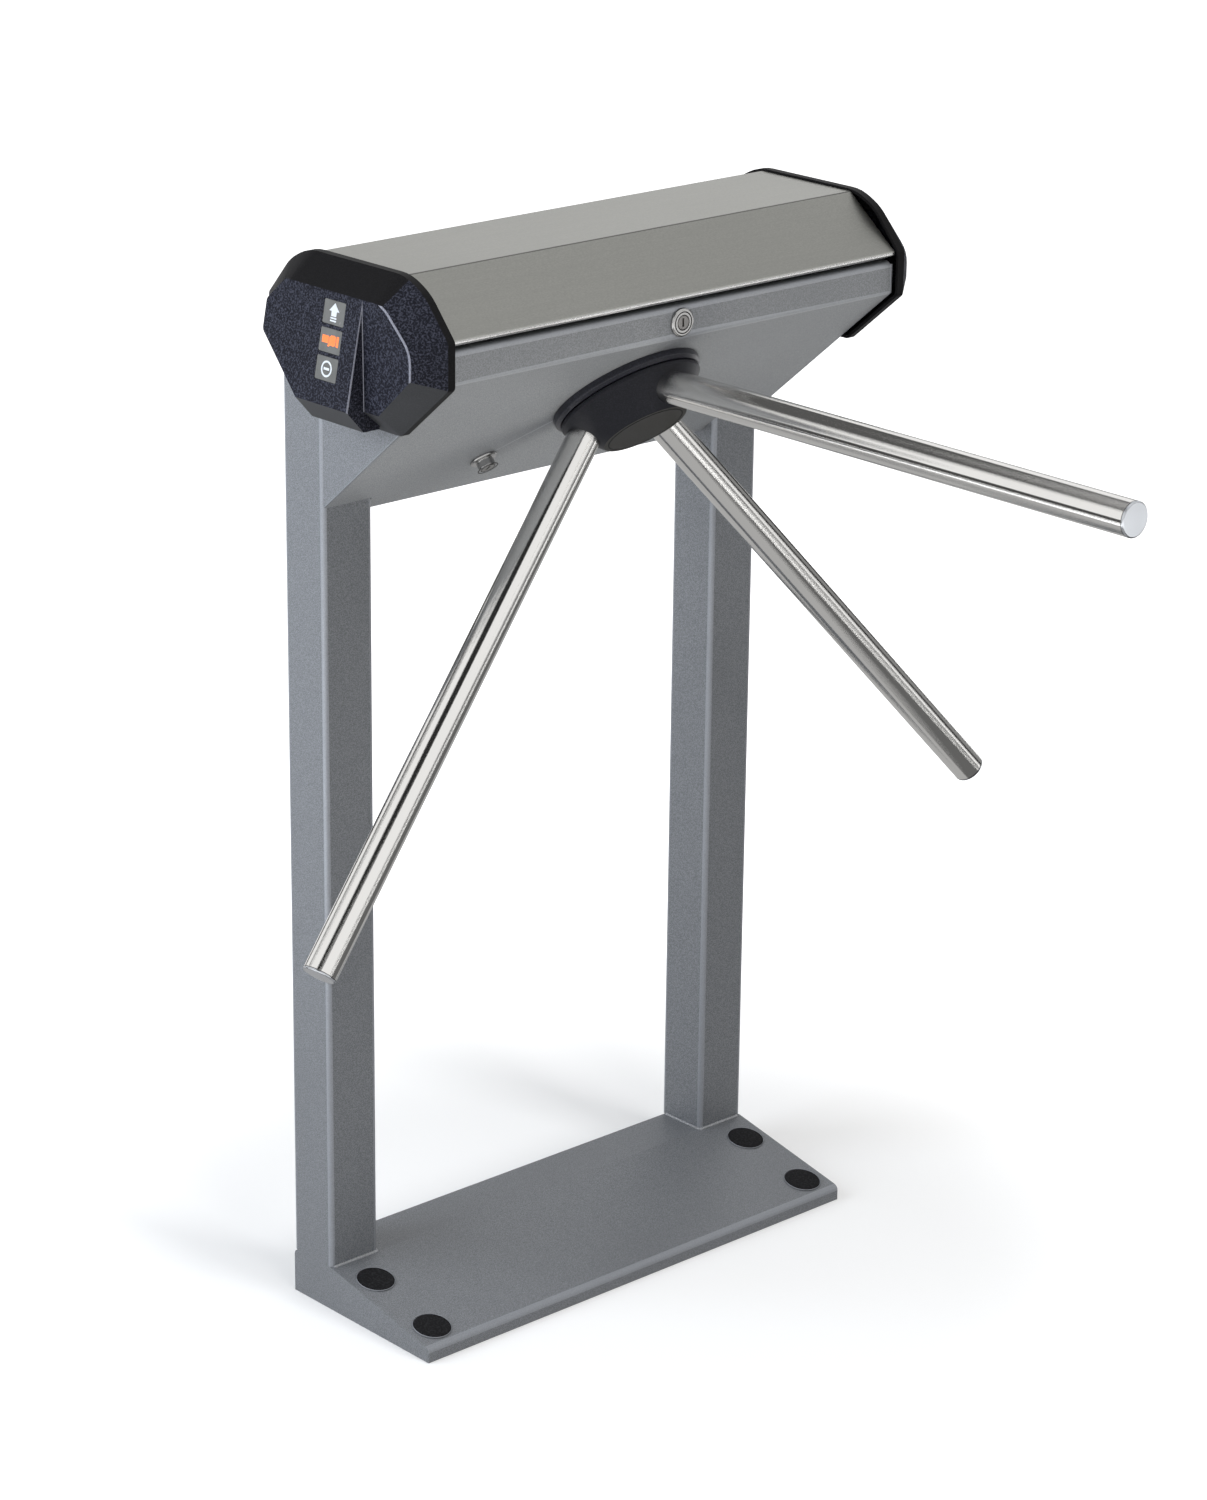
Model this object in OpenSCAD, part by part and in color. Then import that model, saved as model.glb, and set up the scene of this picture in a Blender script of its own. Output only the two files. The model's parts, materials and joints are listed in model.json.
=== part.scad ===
// Waist-high tripod turnstile: a welded floor frame, a folded housing under a
// hinged stainless cover, and three arms that turn on an inclined shaft.
// Origin: centre of the four floor anchors, on the floor. +Z is up, -Y is the
// passage side, -X is the near end.

/* [Frame] */
// Width of the frame over its two posts
frame_w = 550; // [480:5:700]
// Side of the square post tube
post_size = 58; // [50:1:64]
// Wall of the post tube
post_wall = 3; // [2:0.5:5]
// Height at which the sloping underside meets the posts
underside_z = 813; // [740:1:850]

/* [Base] */
// Depth of the base from its back edge to its front lip
base_d = 205; // [190:1:260]
// Height of the base under the posts
base_h = 45; // [36:1:60]
// Height of the front lip of the base
base_lip_h = 15; // [12:1:24]
// Thickness of the folded base sheet
base_sheet = 4; // [3:0.5:5]
// Thickness of the floor plate inside the base
floor_plate_t = 6; // [4:0.5:8]
// Distance of the anchors from the sides of the base
anchor_inset = 26; // [24:1:40]
// Distance of the front anchors from the front lip
anchor_front_inset = 26; // [24:1:34]
// Distance between the front and the rear anchors
anchor_pitch = 85; // [70:1:90]
// Diameter of the anchor holes in the floor plate
anchor_hole_d = 14; // [11:0.5:18]
// Diameter of the plugs over the anchors
plug_d = 37; // [32:0.5:40]

/* [Housing] */
// Depth of the housing from its back wall to its front strip
housing_d = 238; // [225:1:260]
// Height of the fold between the underside and the front strip
strip_z = 964.5; // [955:0.5:985]
// Height of the front strip
strip_h = 31; // [30:1:40]
// Thickness of the housing sheet
housing_sheet = 3; // [2:0.5:4]
// Depth of the turned-in flange on top of the front strip
strip_flange = 12; // [8:1:14]

/* [Cover] */
// Shadow gap between the front strip and the cover
cover_gap = 4.5; // [4:0.5:7]
// Height of the upright lip round the cover's lower edge
cover_lip_h = 5; // [4.5:0.5:7]
// Height of the cover's slants over that lip
cover_h = 48; // [40:1:60]
// Depth of the flat top of the cover
cover_flat = 121; // [100:1:140]
// Thickness of the cover sheet
cover_sheet = 1.5; // [1:0.25:2.5]
// Overhang of the cover past the housing, front and back
cover_over = 3; // [2.5:0.5:5]
// Depth of the turned-in hems of the cover
cover_hem = 12; // [10:0.5:14]

/* [End caps] */
// Thickness of the straight band round an end cap
cap_band = 8; // [6:0.5:12]
// Distance of the cap's face from the end of the frame
cap_out = 34; // [28:1:44]
// Wall of the moulded cap
cap_wall = 3; // [2:0.5:4]
// Lean of the indicator panel, top in and bottom out
panel_lean = 10.8; // [6:0.2:14]
// Width of an indicator window
window_w = 30; // [24:0.5:34]
// Height of an indicator window
window_h = 22; // [18:0.5:23]
// Pitch of the indicator windows down the panel
window_pitch = 25; // [24:0.5:27]

/* [Tripod] */
// Distance of the hub from the strip's lower fold, along the underside
hub_along = 97; // [92:1:106]
// Diameter of the fixed flange round the hub
flange_d = 148; // [140:1:156]
// Thickness of the fixed flange
flange_t = 9; // [7:0.5:11]
// Diameter of the turning hub where it meets the flange
hub_d = 141; // [134:1:146]
// Diameter of the hub's nose
nose_d = 84; // [76:1:90]
// Depth of the turning hub in front of the underside
hub_depth = 44; // [42:0.5:48]
// Diameter of an arm
arm_d = 32; // [30:0.5:34]
// Wall of an arm
arm_wall = 2; // [1.5:0.25:3]
// Reach of an arm's end from the point where the arm axes meet
arm_reach = 636; // [560:1:640]
// Distance behind the underside of the point where the arm axes meet
arms_meet = 18.5; // [17:0.5:20]

/* [Mechanism] */
// Diameter of the main shaft
shaft_d = 25; // [20:0.5:26]
// Outer diameter of a main bearing
bearing_d = 52; // [48:0.5:54]
// Width of a main bearing
bearing_w = 15; // [12:0.5:16]
// Module of the gears
gear_module = 2.5; // [2.4:0.05:2.6]
// Face width of the gears
gear_w = 10; // [8:0.5:12]
// Diameter of the lock disc
lock_disc_d = 104; // [96:1:108]
// Thickness of the lock disc
lock_disc_t = 8; // [6:0.5:9]
// Diameter of a lock bolt
lock_bolt_d = 9; // [7:0.5:10]
// Travel of a lock bolt
bolt_travel = 8; // [6:0.5:9]
// Distance of the crank pin from its gear's axis
crank_throw = 12; // [12:0.25:13]

/* [Locks] */
// Diameter of the lock rings
lock_ring_d = 27; // [24:0.5:29]
// Diameter of the lock barrels
lock_barrel_d = 19; // [16:0.5:20]
// Distance of the release lock from the middle of the frame
release_x = 108; // [96:1:130]
// Distance of the release lock from the strip's lower fold, along the underside
release_along = 197; // [180:1:205]

/* [Hidden] */

$fn = 64;
// Overrun of every cut past the face that it opens
overrun = 1;
// Clearance between pieces that lie side by side
fit_gap = 0.3;
// Radial clearance of a turning or sliding fit
running_gap = 0.04;

// Places along the depth, from the anchors' centre
front_y = -(anchor_pitch / 2 + anchor_front_inset);
rear_y = front_y + base_d;
post_front_y = rear_y - post_size;
strip_y = rear_y - housing_d;
half_w = frame_w / 2;
post_inner_x = half_w - post_size;

// Slope of the underside, which is also the tilt of the tripod's axis
slope = atan((strip_z - underside_z) / (housing_d - post_size));
hub_y = strip_y + hub_along * cos(slope);
hub_z = strip_z - hub_along * sin(slope);

// Heights of the housing and its cover
strip_top_z = strip_z + strip_h;
cover_lip_z = strip_top_z + cover_gap;
cover_edge_z = cover_lip_z + cover_lip_h;
cover_top_z = cover_edge_z + cover_h;
cover_mid_y = rear_y - housing_d / 2;
cover_half_d = housing_d / 2 + cover_over;
cover_slant = atan(cover_h / (cover_half_d - cover_flat / 2));

// Bends: points along each arc, and the outer radii
bend_steps = 4;
base_bend_r = base_sheet * 1.5;
strip_bend_r = housing_sheet * 2;
fold_bend_r = housing_sheet * 1.5;
cover_bend_r = cover_sheet * 2;
lip_bend_r = cover_sheet * 1.4;

// Sheet metal: a path in a plane becomes a folded sheet of one thickness
function unit(v) = v / norm(v);
function left_of(v) = [-v[1], v[0]];
function step_normal(path, i) = left_of(unit(path[i + 1] - path[i]));
function offset_point(path, i, d) =
    i == 0 ? path[i] + d * step_normal(path, i) :
    i == len(path) - 1 ? path[i] + d * step_normal(path, i - 1) :
    let (a = step_normal(path, i - 1), b = step_normal(path, i))
    path[i] + d * (a + b) / (1 + a * b);
function offset_path(path, d) = [for (i = [0:len(path) - 1]) offset_point(path, i, d)];
function reversed(path) = [for (i = [len(path) - 1:-1:0]) path[i]];
function sheet_outline(path, t) = concat(path, reversed(offset_path(path, t)));

// Rounds the inner corners of a path with arcs that touch both its legs
function corner_arc(a, b, c, r) =
    let (u = unit(a - b), v = unit(c - b), half = acos(u * v) / 2)
    let (middle = b + unit(u + v) * r / sin(half))
    let (start = b + u * r / tan(half) - middle, turn = 180 - 2 * half)
    let (side = u[0] * v[1] - u[1] * v[0] > 0 ? -1 : 1)
    [for (k = [0:bend_steps]) let (w = side * turn * k / bend_steps)
        middle + [start[0] * cos(w) - start[1] * sin(w), start[0] * sin(w) + start[1] * cos(w)]];
function rounded_path(path, radii) = [
    for (i = [0:len(path) - 1])
        each (i == 0 || i == len(path) - 1 || radii[i] == 0) ? [path[i]]
            : corner_arc(path[i - 1], path[i], path[i + 1], radii[i])];

// The same for a closed outline
function rounded_outline(path, radii) = [
    for (i = [0:len(path) - 1])
        let (before = path[(i + len(path) - 1) % len(path)], after = path[(i + 1) % len(path)])
        each radii[i] == 0 ? [path[i]] : corner_arc(before, path[i], after, radii[i])];

// Draws in a closed outline that runs clockwise
function inset_outline(path, d) = [
    for (i = [0:len(path) - 1])
        let (before = path[(i + len(path) - 1) % len(path)], after = path[(i + 1) % len(path)])
        let (a = left_of(unit(path[i] - before)), b = left_of(unit(after - path[i])))
        path[i] - d * (a + b) / (1 + a * b)
];

// Draws a depth and height outline and runs it along the width
module across(length, from = 0) {
    translate([from, 0, 0]) rotate([90, 0, 90]) linear_extrude(length) children();
}

// The hub's own frame: on the underside, with +Z up the shaft into the housing
module at_hub() {
    translate([0, hub_y, hub_z]) rotate([-slope, 0, 0]) children();
}

// Repeats its children at both ends of the frame, the far end mirrored
module at_far_end() {
    mirror([1, 0, 0]) children();
}

// Solid of a profile of radius and height
module turned(profile, facets = 96) {
    rotate_extrude($fn = facets) polygon(profile);
}

// Frame: base, floor plate, plugs and posts
base_slope = atan((base_h - base_lip_h) / (base_d - post_size));
base_paint = [0.44, 0.46, 0.48];

function base_path() = rounded_path([
    [rear_y, 0], [rear_y, base_h], [post_front_y, base_h], [front_y, base_lip_h], [front_y, 0]
], [0, base_bend_r, base_bend_r, base_bend_r, 0]);

// Centres and turns its children on the sloping plate over each anchor
module at_anchors() {
    for (side = [-1, 1], row = [-1, 1])
        translate([side * (half_w - anchor_inset), row * anchor_pitch / 2, 0]) children();
}

module at_plugs() {
    plate_mid_y = (post_front_y + front_y) / 2;
    plate_mid_z = (base_h + base_lip_h) / 2;
    for (side = [-1, 1], row = [-1, 1])
        translate([side * (half_w - anchor_inset), 0, 0])
            translate([
                0, row * anchor_pitch / 2,
                plate_mid_z + (row * anchor_pitch / 2 - plate_mid_y) * tan(base_slope)
            ])
                rotate([base_slope, 0, 0]) children();
}

plug_rim_t = 1.5;
plug_lip = 1.5;
plug_skirt_h = 9;
plug_skirt_wall = 2;
access_hole_r = plug_d / 2 - plug_lip;

module base_cover() {
    path = base_path();
    color(base_paint) difference() {
        union() {
            across(frame_w, -half_w) polygon(sheet_outline(path, base_sheet));
            for (x = [-half_w, half_w - base_sheet])
                across(base_sheet, x) polygon(path);
        }
        at_plugs() cylinder(r = access_hole_r, h = 4 * base_sheet, center = true);
    }
}

module floor_plate() {
    color([0.3, 0.31, 0.32]) difference() {
        translate([-half_w + base_sheet, front_y + base_sheet, 0])
            cube([frame_w - 2 * base_sheet, base_d - 2 * base_sheet, floor_plate_t]);
        at_anchors() translate([0, 0, -overrun])
            cylinder(d = anchor_hole_d, h = floor_plate_t + 2 * overrun);
    }
}

// A domed plug whose rim lies on the sheet and whose skirt fills the hole
module anchor_plugs() {
    r = plug_d / 2;
    skirt_r = access_hole_r - fit_gap;
    dome = plug_rim_t / 2;
    color([0.08, 0.08, 0.09]) at_plugs() turned([
        [0, plug_rim_t + dome], [skirt_r - plug_skirt_wall, plug_rim_t + dome / 2], [r - dome, plug_rim_t],
        [r, plug_rim_t - dome], [r, 0], [skirt_r, 0], [skirt_r, -plug_skirt_h],
        [skirt_r - plug_skirt_wall, -plug_skirt_h], [skirt_r - plug_skirt_wall, -base_sheet / 2],
        [0, -base_sheet / 2]
    ], 48);
}

// A post stands on the base and ends inside the housing
post_top_z = strip_top_z - post_size / 4;
post_edge_share = 1.5;
post_edge_r = post_edge_share * post_wall;

module rounded_square(side, r) {
    translate([r, 0]) square([side - 2 * r, side]);
    translate([0, r]) square([side, side - 2 * r]);
    for (x = [r, side - r], y = [r, side - r])
        translate([x, y]) circle(r = r, $fn = 24);
}

module near_post() {
    color(base_paint) translate([-half_w, post_front_y, base_h])
        linear_extrude(post_top_z - base_h) difference() {
            rounded_square(post_size, post_edge_r);
            translate([post_wall, post_wall])
                square(post_size - 2 * post_wall);
        }
}

module far_post() at_far_end() near_post();

// Housing: two side plates and one folded sheet with a strip, a sloping
// underside, a narrow floor between the posts and a back wall
floor_z = underside_z - (post_size / 3) * tan(slope);
floor_front_y = post_front_y + post_size / 3;
back_top_z = strip_top_z - housing_sheet;

module near_side_plate() {
    color(base_paint) across(housing_sheet, -half_w) polygon([
        [post_front_y, underside_z], [post_front_y, back_top_z],
        [strip_y, back_top_z], [strip_y, strip_z]
    ]);
}

module far_side_plate() at_far_end() near_side_plate();

function housing_path() = rounded_path([
    [strip_y + strip_flange, strip_top_z], [strip_y, strip_top_z], [strip_y, strip_z],
    [floor_front_y, floor_z], [rear_y, floor_z], [rear_y, back_top_z]
], [0, strip_bend_r, fold_bend_r, fold_bend_r, fold_bend_r, 0]);

hub_hole_room = 12;
hub_hole_r = bearing_d / 2 + hub_hole_room;

module housing_sheet_metal() {
    inner_half = half_w - housing_sheet;
    color([0.5, 0.52, 0.53]) difference() {
        across(2 * inner_half, -inner_half)
            polygon(sheet_outline(housing_path(), housing_sheet));
        for (x = [-half_w - overrun, post_inner_x])
            translate([x, post_front_y, 0])
                cube([post_size + overrun, post_size + overrun, cover_top_z]);
        at_hub() cylinder(r = hub_hole_r, h = 4 * housing_sheet, center = true);
        at_release_lock() cylinder(r = lock_barrel_d / 2 + fit_gap, h = 4 * housing_sheet, center = true);
        at_cover_lock() cylinder(r = lock_barrel_d / 2 + fit_gap, h = 4 * housing_sheet, center = true);
        for (x = hinge_places())
            translate([x - hinge_notch_w / 2, rear_y - 2 * housing_sheet, hinge_z - hinge_eye_r - hinge_clear])
                cube([hinge_notch_w, 3 * housing_sheet, post_size]);
    }
}

// Cover: a folded shell that is hinged inside the back wall
hinge_x_share = 0.55;
hinge_in = 9;
hinge_drop = 6;
hinge_y = rear_y - hinge_in;
hinge_z = strip_top_z - hinge_drop;
hinge_eye_r = 5;
hinge_pin_r = 2.5;
hinge_clear = 3;
hinge_lug_t = 4;
hinge_lug_spread = 16;
bracket_drop = 25;
hinge_notch_w = hinge_lug_spread + hinge_lug_t + 2 * hinge_clear;
cover_end_gap = 1;
cover_half_w = half_w - cover_end_gap;

function hinge_places() = [-half_w * hinge_x_share, half_w * hinge_x_share];
// Height of the cover's inner face over a place on its rear or front slant
function cover_inner_z(y) =
    cover_edge_z + (cover_half_d - abs(y - cover_mid_y)) * tan(cover_slant) - cover_sheet / cos(cover_slant);

function cover_path() = rounded_path([
    [cover_mid_y + cover_half_d - cover_hem, cover_lip_z], [cover_mid_y + cover_half_d, cover_lip_z],
    [cover_mid_y + cover_half_d, cover_edge_z], [cover_mid_y + cover_flat / 2, cover_top_z],
    [cover_mid_y - cover_flat / 2, cover_top_z], [cover_mid_y - cover_half_d, cover_edge_z],
    [cover_mid_y - cover_half_d, cover_lip_z], [cover_mid_y - cover_half_d + cover_hem, cover_lip_z]
], [0, lip_bend_r, cover_bend_r, cover_bend_r, cover_bend_r, cover_bend_r, lip_bend_r, 0]);

module cover_shell() {
    color([0.66, 0.65, 0.62]) across(2 * cover_half_w, -cover_half_w)
        polygon(sheet_outline(cover_path(), cover_sheet));
}

// Two lugs a hinge, welded under the rear slant, each with an eye for the pin
lug_foot_front = 26;
lug_foot_back = 10;
lug_waist = 1;

module hinge_lug() {
    across(hinge_lug_t, -hinge_lug_t / 2) difference() {
        union() {
            translate([hinge_y, hinge_z]) circle(r = hinge_eye_r, $fn = 48);
            polygon([
                [hinge_y - hinge_eye_r, hinge_z], [hinge_y + hinge_eye_r, hinge_z],
                [hinge_y - lug_waist, cover_lip_z - hinge_clear],
                [hinge_y - lug_foot_back + hinge_eye_r, cover_inner_z(hinge_y - lug_foot_back + hinge_eye_r)],
                [hinge_y - lug_foot_front, cover_inner_z(hinge_y - lug_foot_front)]
            ]);
        }
        translate([hinge_y, hinge_z]) circle(r = hinge_pin_r + running_gap, $fn = 48);
    }
}

module cover_hinge_lugs() {
    color([0.6, 0.6, 0.6])
        for (x = hinge_places(), side = [-1, 1])
            translate([x + side * hinge_lug_spread / 2, 0, 0]) hinge_lug();
}

// A bracket a hinge on the back wall, between the lugs, which carries the pin
module cover_hinge_brackets() {
    bracket_w = hinge_lug_spread - hinge_lug_t - 2 * fit_gap;
    pin_l = hinge_lug_spread + 2 * hinge_lug_t;
    wall_in_y = rear_y - housing_sheet;
    foot_z = hinge_z - bracket_drop;
    color([0.6, 0.6, 0.6]) for (x = hinge_places()) translate([x, 0, 0]) {
        across(bracket_w, -bracket_w / 2) union() {
            translate([hinge_y, hinge_z]) circle(r = hinge_eye_r, $fn = 48);
            polygon([
                [hinge_y - hinge_eye_r, hinge_z], [hinge_y - hinge_eye_r, foot_z], [wall_in_y, foot_z],
                [wall_in_y, hinge_z - hinge_eye_r - hinge_clear], [hinge_y + hinge_eye_r, hinge_z]
            ]);
        }
        across(pin_l, -pin_l / 2) translate([hinge_y, hinge_z]) circle(r = hinge_pin_r, $fn = 48);
    }
}

// A strip that hangs from the front slant, with a hook for the lock's cam
cam_t = 2.5;
cam_w = 12;
cam_l = 24;
lock_barrel_l = 24;
lock_height_share = 0.46;
catch_t = 2;
catch_w = 22;
catch_x = 12;
catch_hook = 10;
catch_gap = 5;
hook_gap = 2.5;
catch_y = strip_y + lock_barrel_l + fit_gap + cam_t + catch_gap;
catch_z = strip_z + strip_h * lock_height_share - cam_w / 2 - catch_t - hook_gap;

module cover_catch() {
    color([0.6, 0.6, 0.6]) across(catch_w, catch_x) polygon([
        [catch_y - catch_hook, catch_z], [catch_y + catch_t, catch_z],
        [catch_y + catch_t, cover_inner_z(catch_y + catch_t)], [catch_y, cover_inner_z(catch_y)],
        [catch_y, catch_z + catch_t], [catch_y - catch_hook, catch_z + catch_t]
    ]);
}

// Locks: a ringed barrel in the sheet, a plug that turns and a cam on its end
lock_ring_t = 3;
lock_nose_h = 8;
lock_nose_share = 0.9;
lock_nut_share = 1.2;
plug_core_r = 6.5;
keyway_w = 2.4;
keyway_l = 8;
keyway_deep = 3;

// Each lock's frame: on the sheet's outer face, with +Z into the housing
module at_cover_lock() {
    translate([0, strip_y, strip_z + strip_h * lock_height_share]) rotate([-90, 0, 0]) children();
}

module at_release_lock() {
    along = release_along;
    translate([-release_x, strip_y + along * cos(slope), strip_z - along * sin(slope)])
        rotate([-slope, 0, 0]) children();
}

// The ring outside, with a nose where the lock stands proud, and a threadless
// barrel with its fixing nut inside
module lock_barrel(nose) {
    ring_r = lock_ring_d / 2;
    round_r = lock_ring_t / 3;
    barrel_r = lock_barrel_d / 2;
    nose_r = barrel_r * lock_nose_share;
    core_r = plug_core_r + running_gap;
    nut_r = barrel_r * lock_nut_share;
    nut_h = barrel_r / 2;
    front = nose > 0 ? [[core_r, -lock_ring_t - nose], [nose_r - round_r, -lock_ring_t - nose],
        [nose_r, -lock_ring_t - nose + round_r], [nose_r, -lock_ring_t]]
        : [[core_r, -lock_ring_t]];
    color([0.75, 0.75, 0.77]) turned(concat(front, [
        [ring_r - round_r, -lock_ring_t], [ring_r, -lock_ring_t + round_r], [ring_r, 0], [barrel_r, 0],
        [barrel_r, housing_sheet], [nut_r, housing_sheet], [nut_r, housing_sheet + nut_h],
        [barrel_r, housing_sheet + nut_h], [barrel_r, lock_barrel_l], [core_r, lock_barrel_l]
    ]), 64);
}

module lock_plug(nose) {
    face_z = -lock_ring_t - nose;
    color([0.6, 0.6, 0.62]) difference() {
        translate([0, 0, face_z]) cylinder(r = plug_core_r, h = lock_barrel_l - face_z + fit_gap);
        translate([-keyway_w / 2, -keyway_l / 2, face_z - overrun])
            cube([keyway_w, keyway_l, keyway_deep + overrun]);
    }
}

module lock_cam() {
    r = cam_w / 2;
    color([0.55, 0.55, 0.56]) translate([0, 0, lock_barrel_l + fit_gap]) linear_extrude(cam_t) {
        circle(r = r, $fn = 48);
        translate([-r, 0]) square([cam_w, cam_l - r]);
        translate([0, cam_l - r]) circle(r = r, $fn = 48);
    }
}

module cover_lock_barrel() at_cover_lock() lock_barrel(0);
module cover_lock_plug() at_cover_lock() lock_plug(0);
module cover_lock_cam() at_cover_lock() rotate([0, 0, 180]) lock_cam();
module release_lock_barrel() at_release_lock() lock_barrel(lock_nose_h);
module release_lock_plug() at_release_lock() lock_plug(lock_nose_h);
module release_lock_cam() at_release_lock() lock_cam();

// A switch that the release lock's cam presses when the key is turned
switch_w = 14;
switch_l = 20;
switch_h = 29;
plunger_r = 2;

module release_switch() {
    reach = cam_l + fit_gap;
    gap = 4;
    color([0.1, 0.1, 0.12]) at_release_lock() {
        translate([-reach - gap - switch_w, -switch_l / 2, housing_sheet])
            cube([switch_w, switch_l, switch_h]);
        translate([-reach - gap - overrun, 0, lock_barrel_l + fit_gap + cam_t / 2]) rotate([0, 90, 0])
            cylinder(r = plunger_r, h = gap + overrun, $fn = 32);
    }
}

// Rubber buffers on the strip's flange, under the cover's front hem
bumper_share = 0.8;
bumper_r = 2.5;

module cover_bumpers() {
    color([0.05, 0.05, 0.05]) for (side = [-1, 1])
        translate([side * half_w * bumper_share, strip_y + strip_flange - bumper_r - overrun, strip_top_z])
            cylinder(r = bumper_r, h = cover_gap - fit_gap, $fn = 32);
}

// End caps: a band round the housing's end, a tapered body and a leaning
// panel, all one moulded shell
cap_mid_y = cover_mid_y;
cap_over = 2;
cap_side_over = 4;
cap_side_drop = 2;
cap_chin = 54;
cap_shoulder = 7;
cap_knee_out = 26;
cap_knee_drop = 13;
cap_top_z = cover_top_z + cap_over;
cap_half_d = cover_half_d + cap_side_over;
cap_side_hi_z = cover_edge_z;
cap_side_lo_z = strip_z - cap_side_drop;
cap_bottom_z = cap_side_lo_z - cap_chin;
cap_top_half = cover_flat / 2 + cap_shoulder;
cap_knee_half = cap_top_half + cap_knee_out;
cap_knee_z = cap_top_z - cap_knee_drop;
cap_bottom_half = cap_half_d - cap_chin / tan(slope);

// The cap's face, drawn in from the band, and the panel that leans out of it
face_inset = 23;
face_front_in = 21;
face_rear_in = 36;
face_rear_drop = 22;
face_rear_rise = 19;
face_front_ease = 8;
face_top_z = cap_top_z - face_inset;
face_bottom_z = cap_bottom_z + face_inset;
face_front = cap_half_d - face_front_in;
face_rear = cap_half_d - face_rear_in;
panel_front = -41;
panel_low_half = 32;
panel_corner_y = 3;
panel_corner_z = 10;
foot_rise = 4;

// The cap's outlines, in depth from its middle and height, and their corners
shoulder_r = 55;
brow_r = 26;
side_r = 6;
function band_outline() = rounded_outline([
    [-cap_top_half, cap_top_z], [cap_top_half, cap_top_z], [cap_knee_half, cap_knee_z],
    [cap_half_d, cap_side_hi_z], [cap_half_d, cap_side_lo_z], [cap_bottom_half, cap_bottom_z],
    [-cap_bottom_half, cap_bottom_z], [-cap_half_d, cap_side_lo_z], [-cap_half_d, cap_side_hi_z],
    [-cap_knee_half, cap_knee_z]
], [shoulder_r, shoulder_r, shoulder_r, side_r, side_r, side_r, side_r, side_r, side_r, shoulder_r]);
function face_outline() = rounded_outline([
    [-cap_top_half, face_top_z], [cap_top_half, face_top_z], [face_rear, face_top_z - face_rear_drop],
    [face_rear, cap_side_lo_z + face_rear_rise], [panel_low_half, face_bottom_z],
    [-cap_bottom_half, face_bottom_z],
    [-face_front, cap_side_lo_z + face_front_ease], [-face_front, cap_side_hi_z - face_front_ease]
], [brow_r, brow_r, side_r, side_r, 0, 0, side_r, brow_r]);
function panel_outline() = rounded_outline([
    [panel_front, face_top_z], [cap_top_half, face_top_z], [face_rear, face_top_z - face_rear_drop],
    [face_rear, cap_side_lo_z + face_rear_rise],
    [panel_low_half + panel_corner_y, face_bottom_z + panel_corner_z],
    [panel_low_half, face_bottom_z], [panel_front, face_bottom_z]
], [0, brow_r, side_r, side_r, 0, 0, 0]);
// The panel's foot behind its lower edge
function foot_outline() = [
    [panel_front, face_top_z], [cap_top_half, face_top_z], [face_rear, face_top_z - face_rear_drop],
    [face_rear, cap_side_lo_z + face_rear_rise], [panel_low_half, cap_bottom_z + foot_rise],
    [panel_front, cap_bottom_z + foot_rise]
];

// The leaning panel's frame: its top edge on the cap's face, -X outwards
module at_panel() {
    translate([-half_w - cap_out, cap_mid_y, face_top_z]) rotate([0, panel_lean, 0]) children();
}

// A thin slice of an outline, drawn in by an inset
module slice(outline, inset) {
    across(fit_gap) polygon(inset_outline(outline, inset));
}

// The cap's whole form, open towards the frame where it is drawn in
module cap_form(inset) {
    hull() {
        translate([-half_w - cap_band, cap_mid_y, 0])
            across(cap_band + (inset > 0 ? overrun : 0)) polygon(inset_outline(band_outline(), inset));
        translate([-half_w - cap_out + inset, cap_mid_y, 0]) slice(face_outline(), inset);
    }
    hull() {
        at_panel() translate([inset, 0, -face_top_z]) slice(panel_outline(), inset);
        translate([-half_w - cap_out + inset, cap_mid_y, 0]) slice(foot_outline(), inset);
        translate([-half_w - 2 * cap_band, cap_mid_y, 0]) slice(foot_outline(), inset);
    }
}

// Centres of the windows down the panel, from its top edge
window_shift = 5;
window_y = -window_shift;
window_first = 18;
window_t = 2.5;
window_gap = 0.2;
function window_drops() = [for (i = [0:2]) -(window_first + i * window_pitch)];

module near_end_cap() {
    color([0.13, 0.13, 0.16]) difference() {
        cap_form(0);
        cap_form(cap_wall);
        at_panel() for (z = window_drops())
            translate([-overrun, window_y - window_w / 2, z - window_h / 2])
                cube([2 * cap_wall + overrun, window_w, window_h]);
    }
    color([0.13, 0.13, 0.16]) at_panel() for (side = [-1, 1], z = board_boss_drops())
        translate([cap_wall / 2, window_y + side * (window_w / 2 + board_side / 2), z])
            rotate([0, 90, 0]) cylinder(r = board_side / 3, h = board_back - cap_wall / 2, $fn = 24);
}

module far_end_cap() at_far_end() near_end_cap();

module near_windows() {
    color([0.4, 0.41, 0.41]) at_panel() for (z = window_drops())
        translate([fit_gap, window_y - window_w / 2 + window_gap, z - window_h / 2 + window_gap])
            cube([window_t, window_w - 2 * window_gap, window_h - 2 * window_gap]);
}

module far_windows() at_far_end() near_windows();

// A circuit board behind the windows, with one lamp behind each
board_t = 1.6;
board_side = 9;
lamp_d = 5;
board_back = window_t + 2 * fit_gap + lamp_d;

board_boss_shares = [0.25, 1.75];
function board_boss_drops() = [for (k = board_boss_shares) -(window_first + window_pitch * k)];

module near_indicator_board() {
    low = window_drops()[2] - window_h / 2;
    color([0.1, 0.32, 0.18]) at_panel() {
        translate([board_back, window_y - window_w / 2 - board_side, low])
            cube([board_t, window_w + 2 * board_side, -low - window_first + window_h / 2]);
        for (z = window_drops()) translate([board_back - lamp_d, window_y, z])
            rotate([0, 90, 0]) cylinder(d = lamp_d, h = lamp_d, $fn = 24);
    }
}

module far_indicator_board() at_far_end() near_indicator_board();

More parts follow.
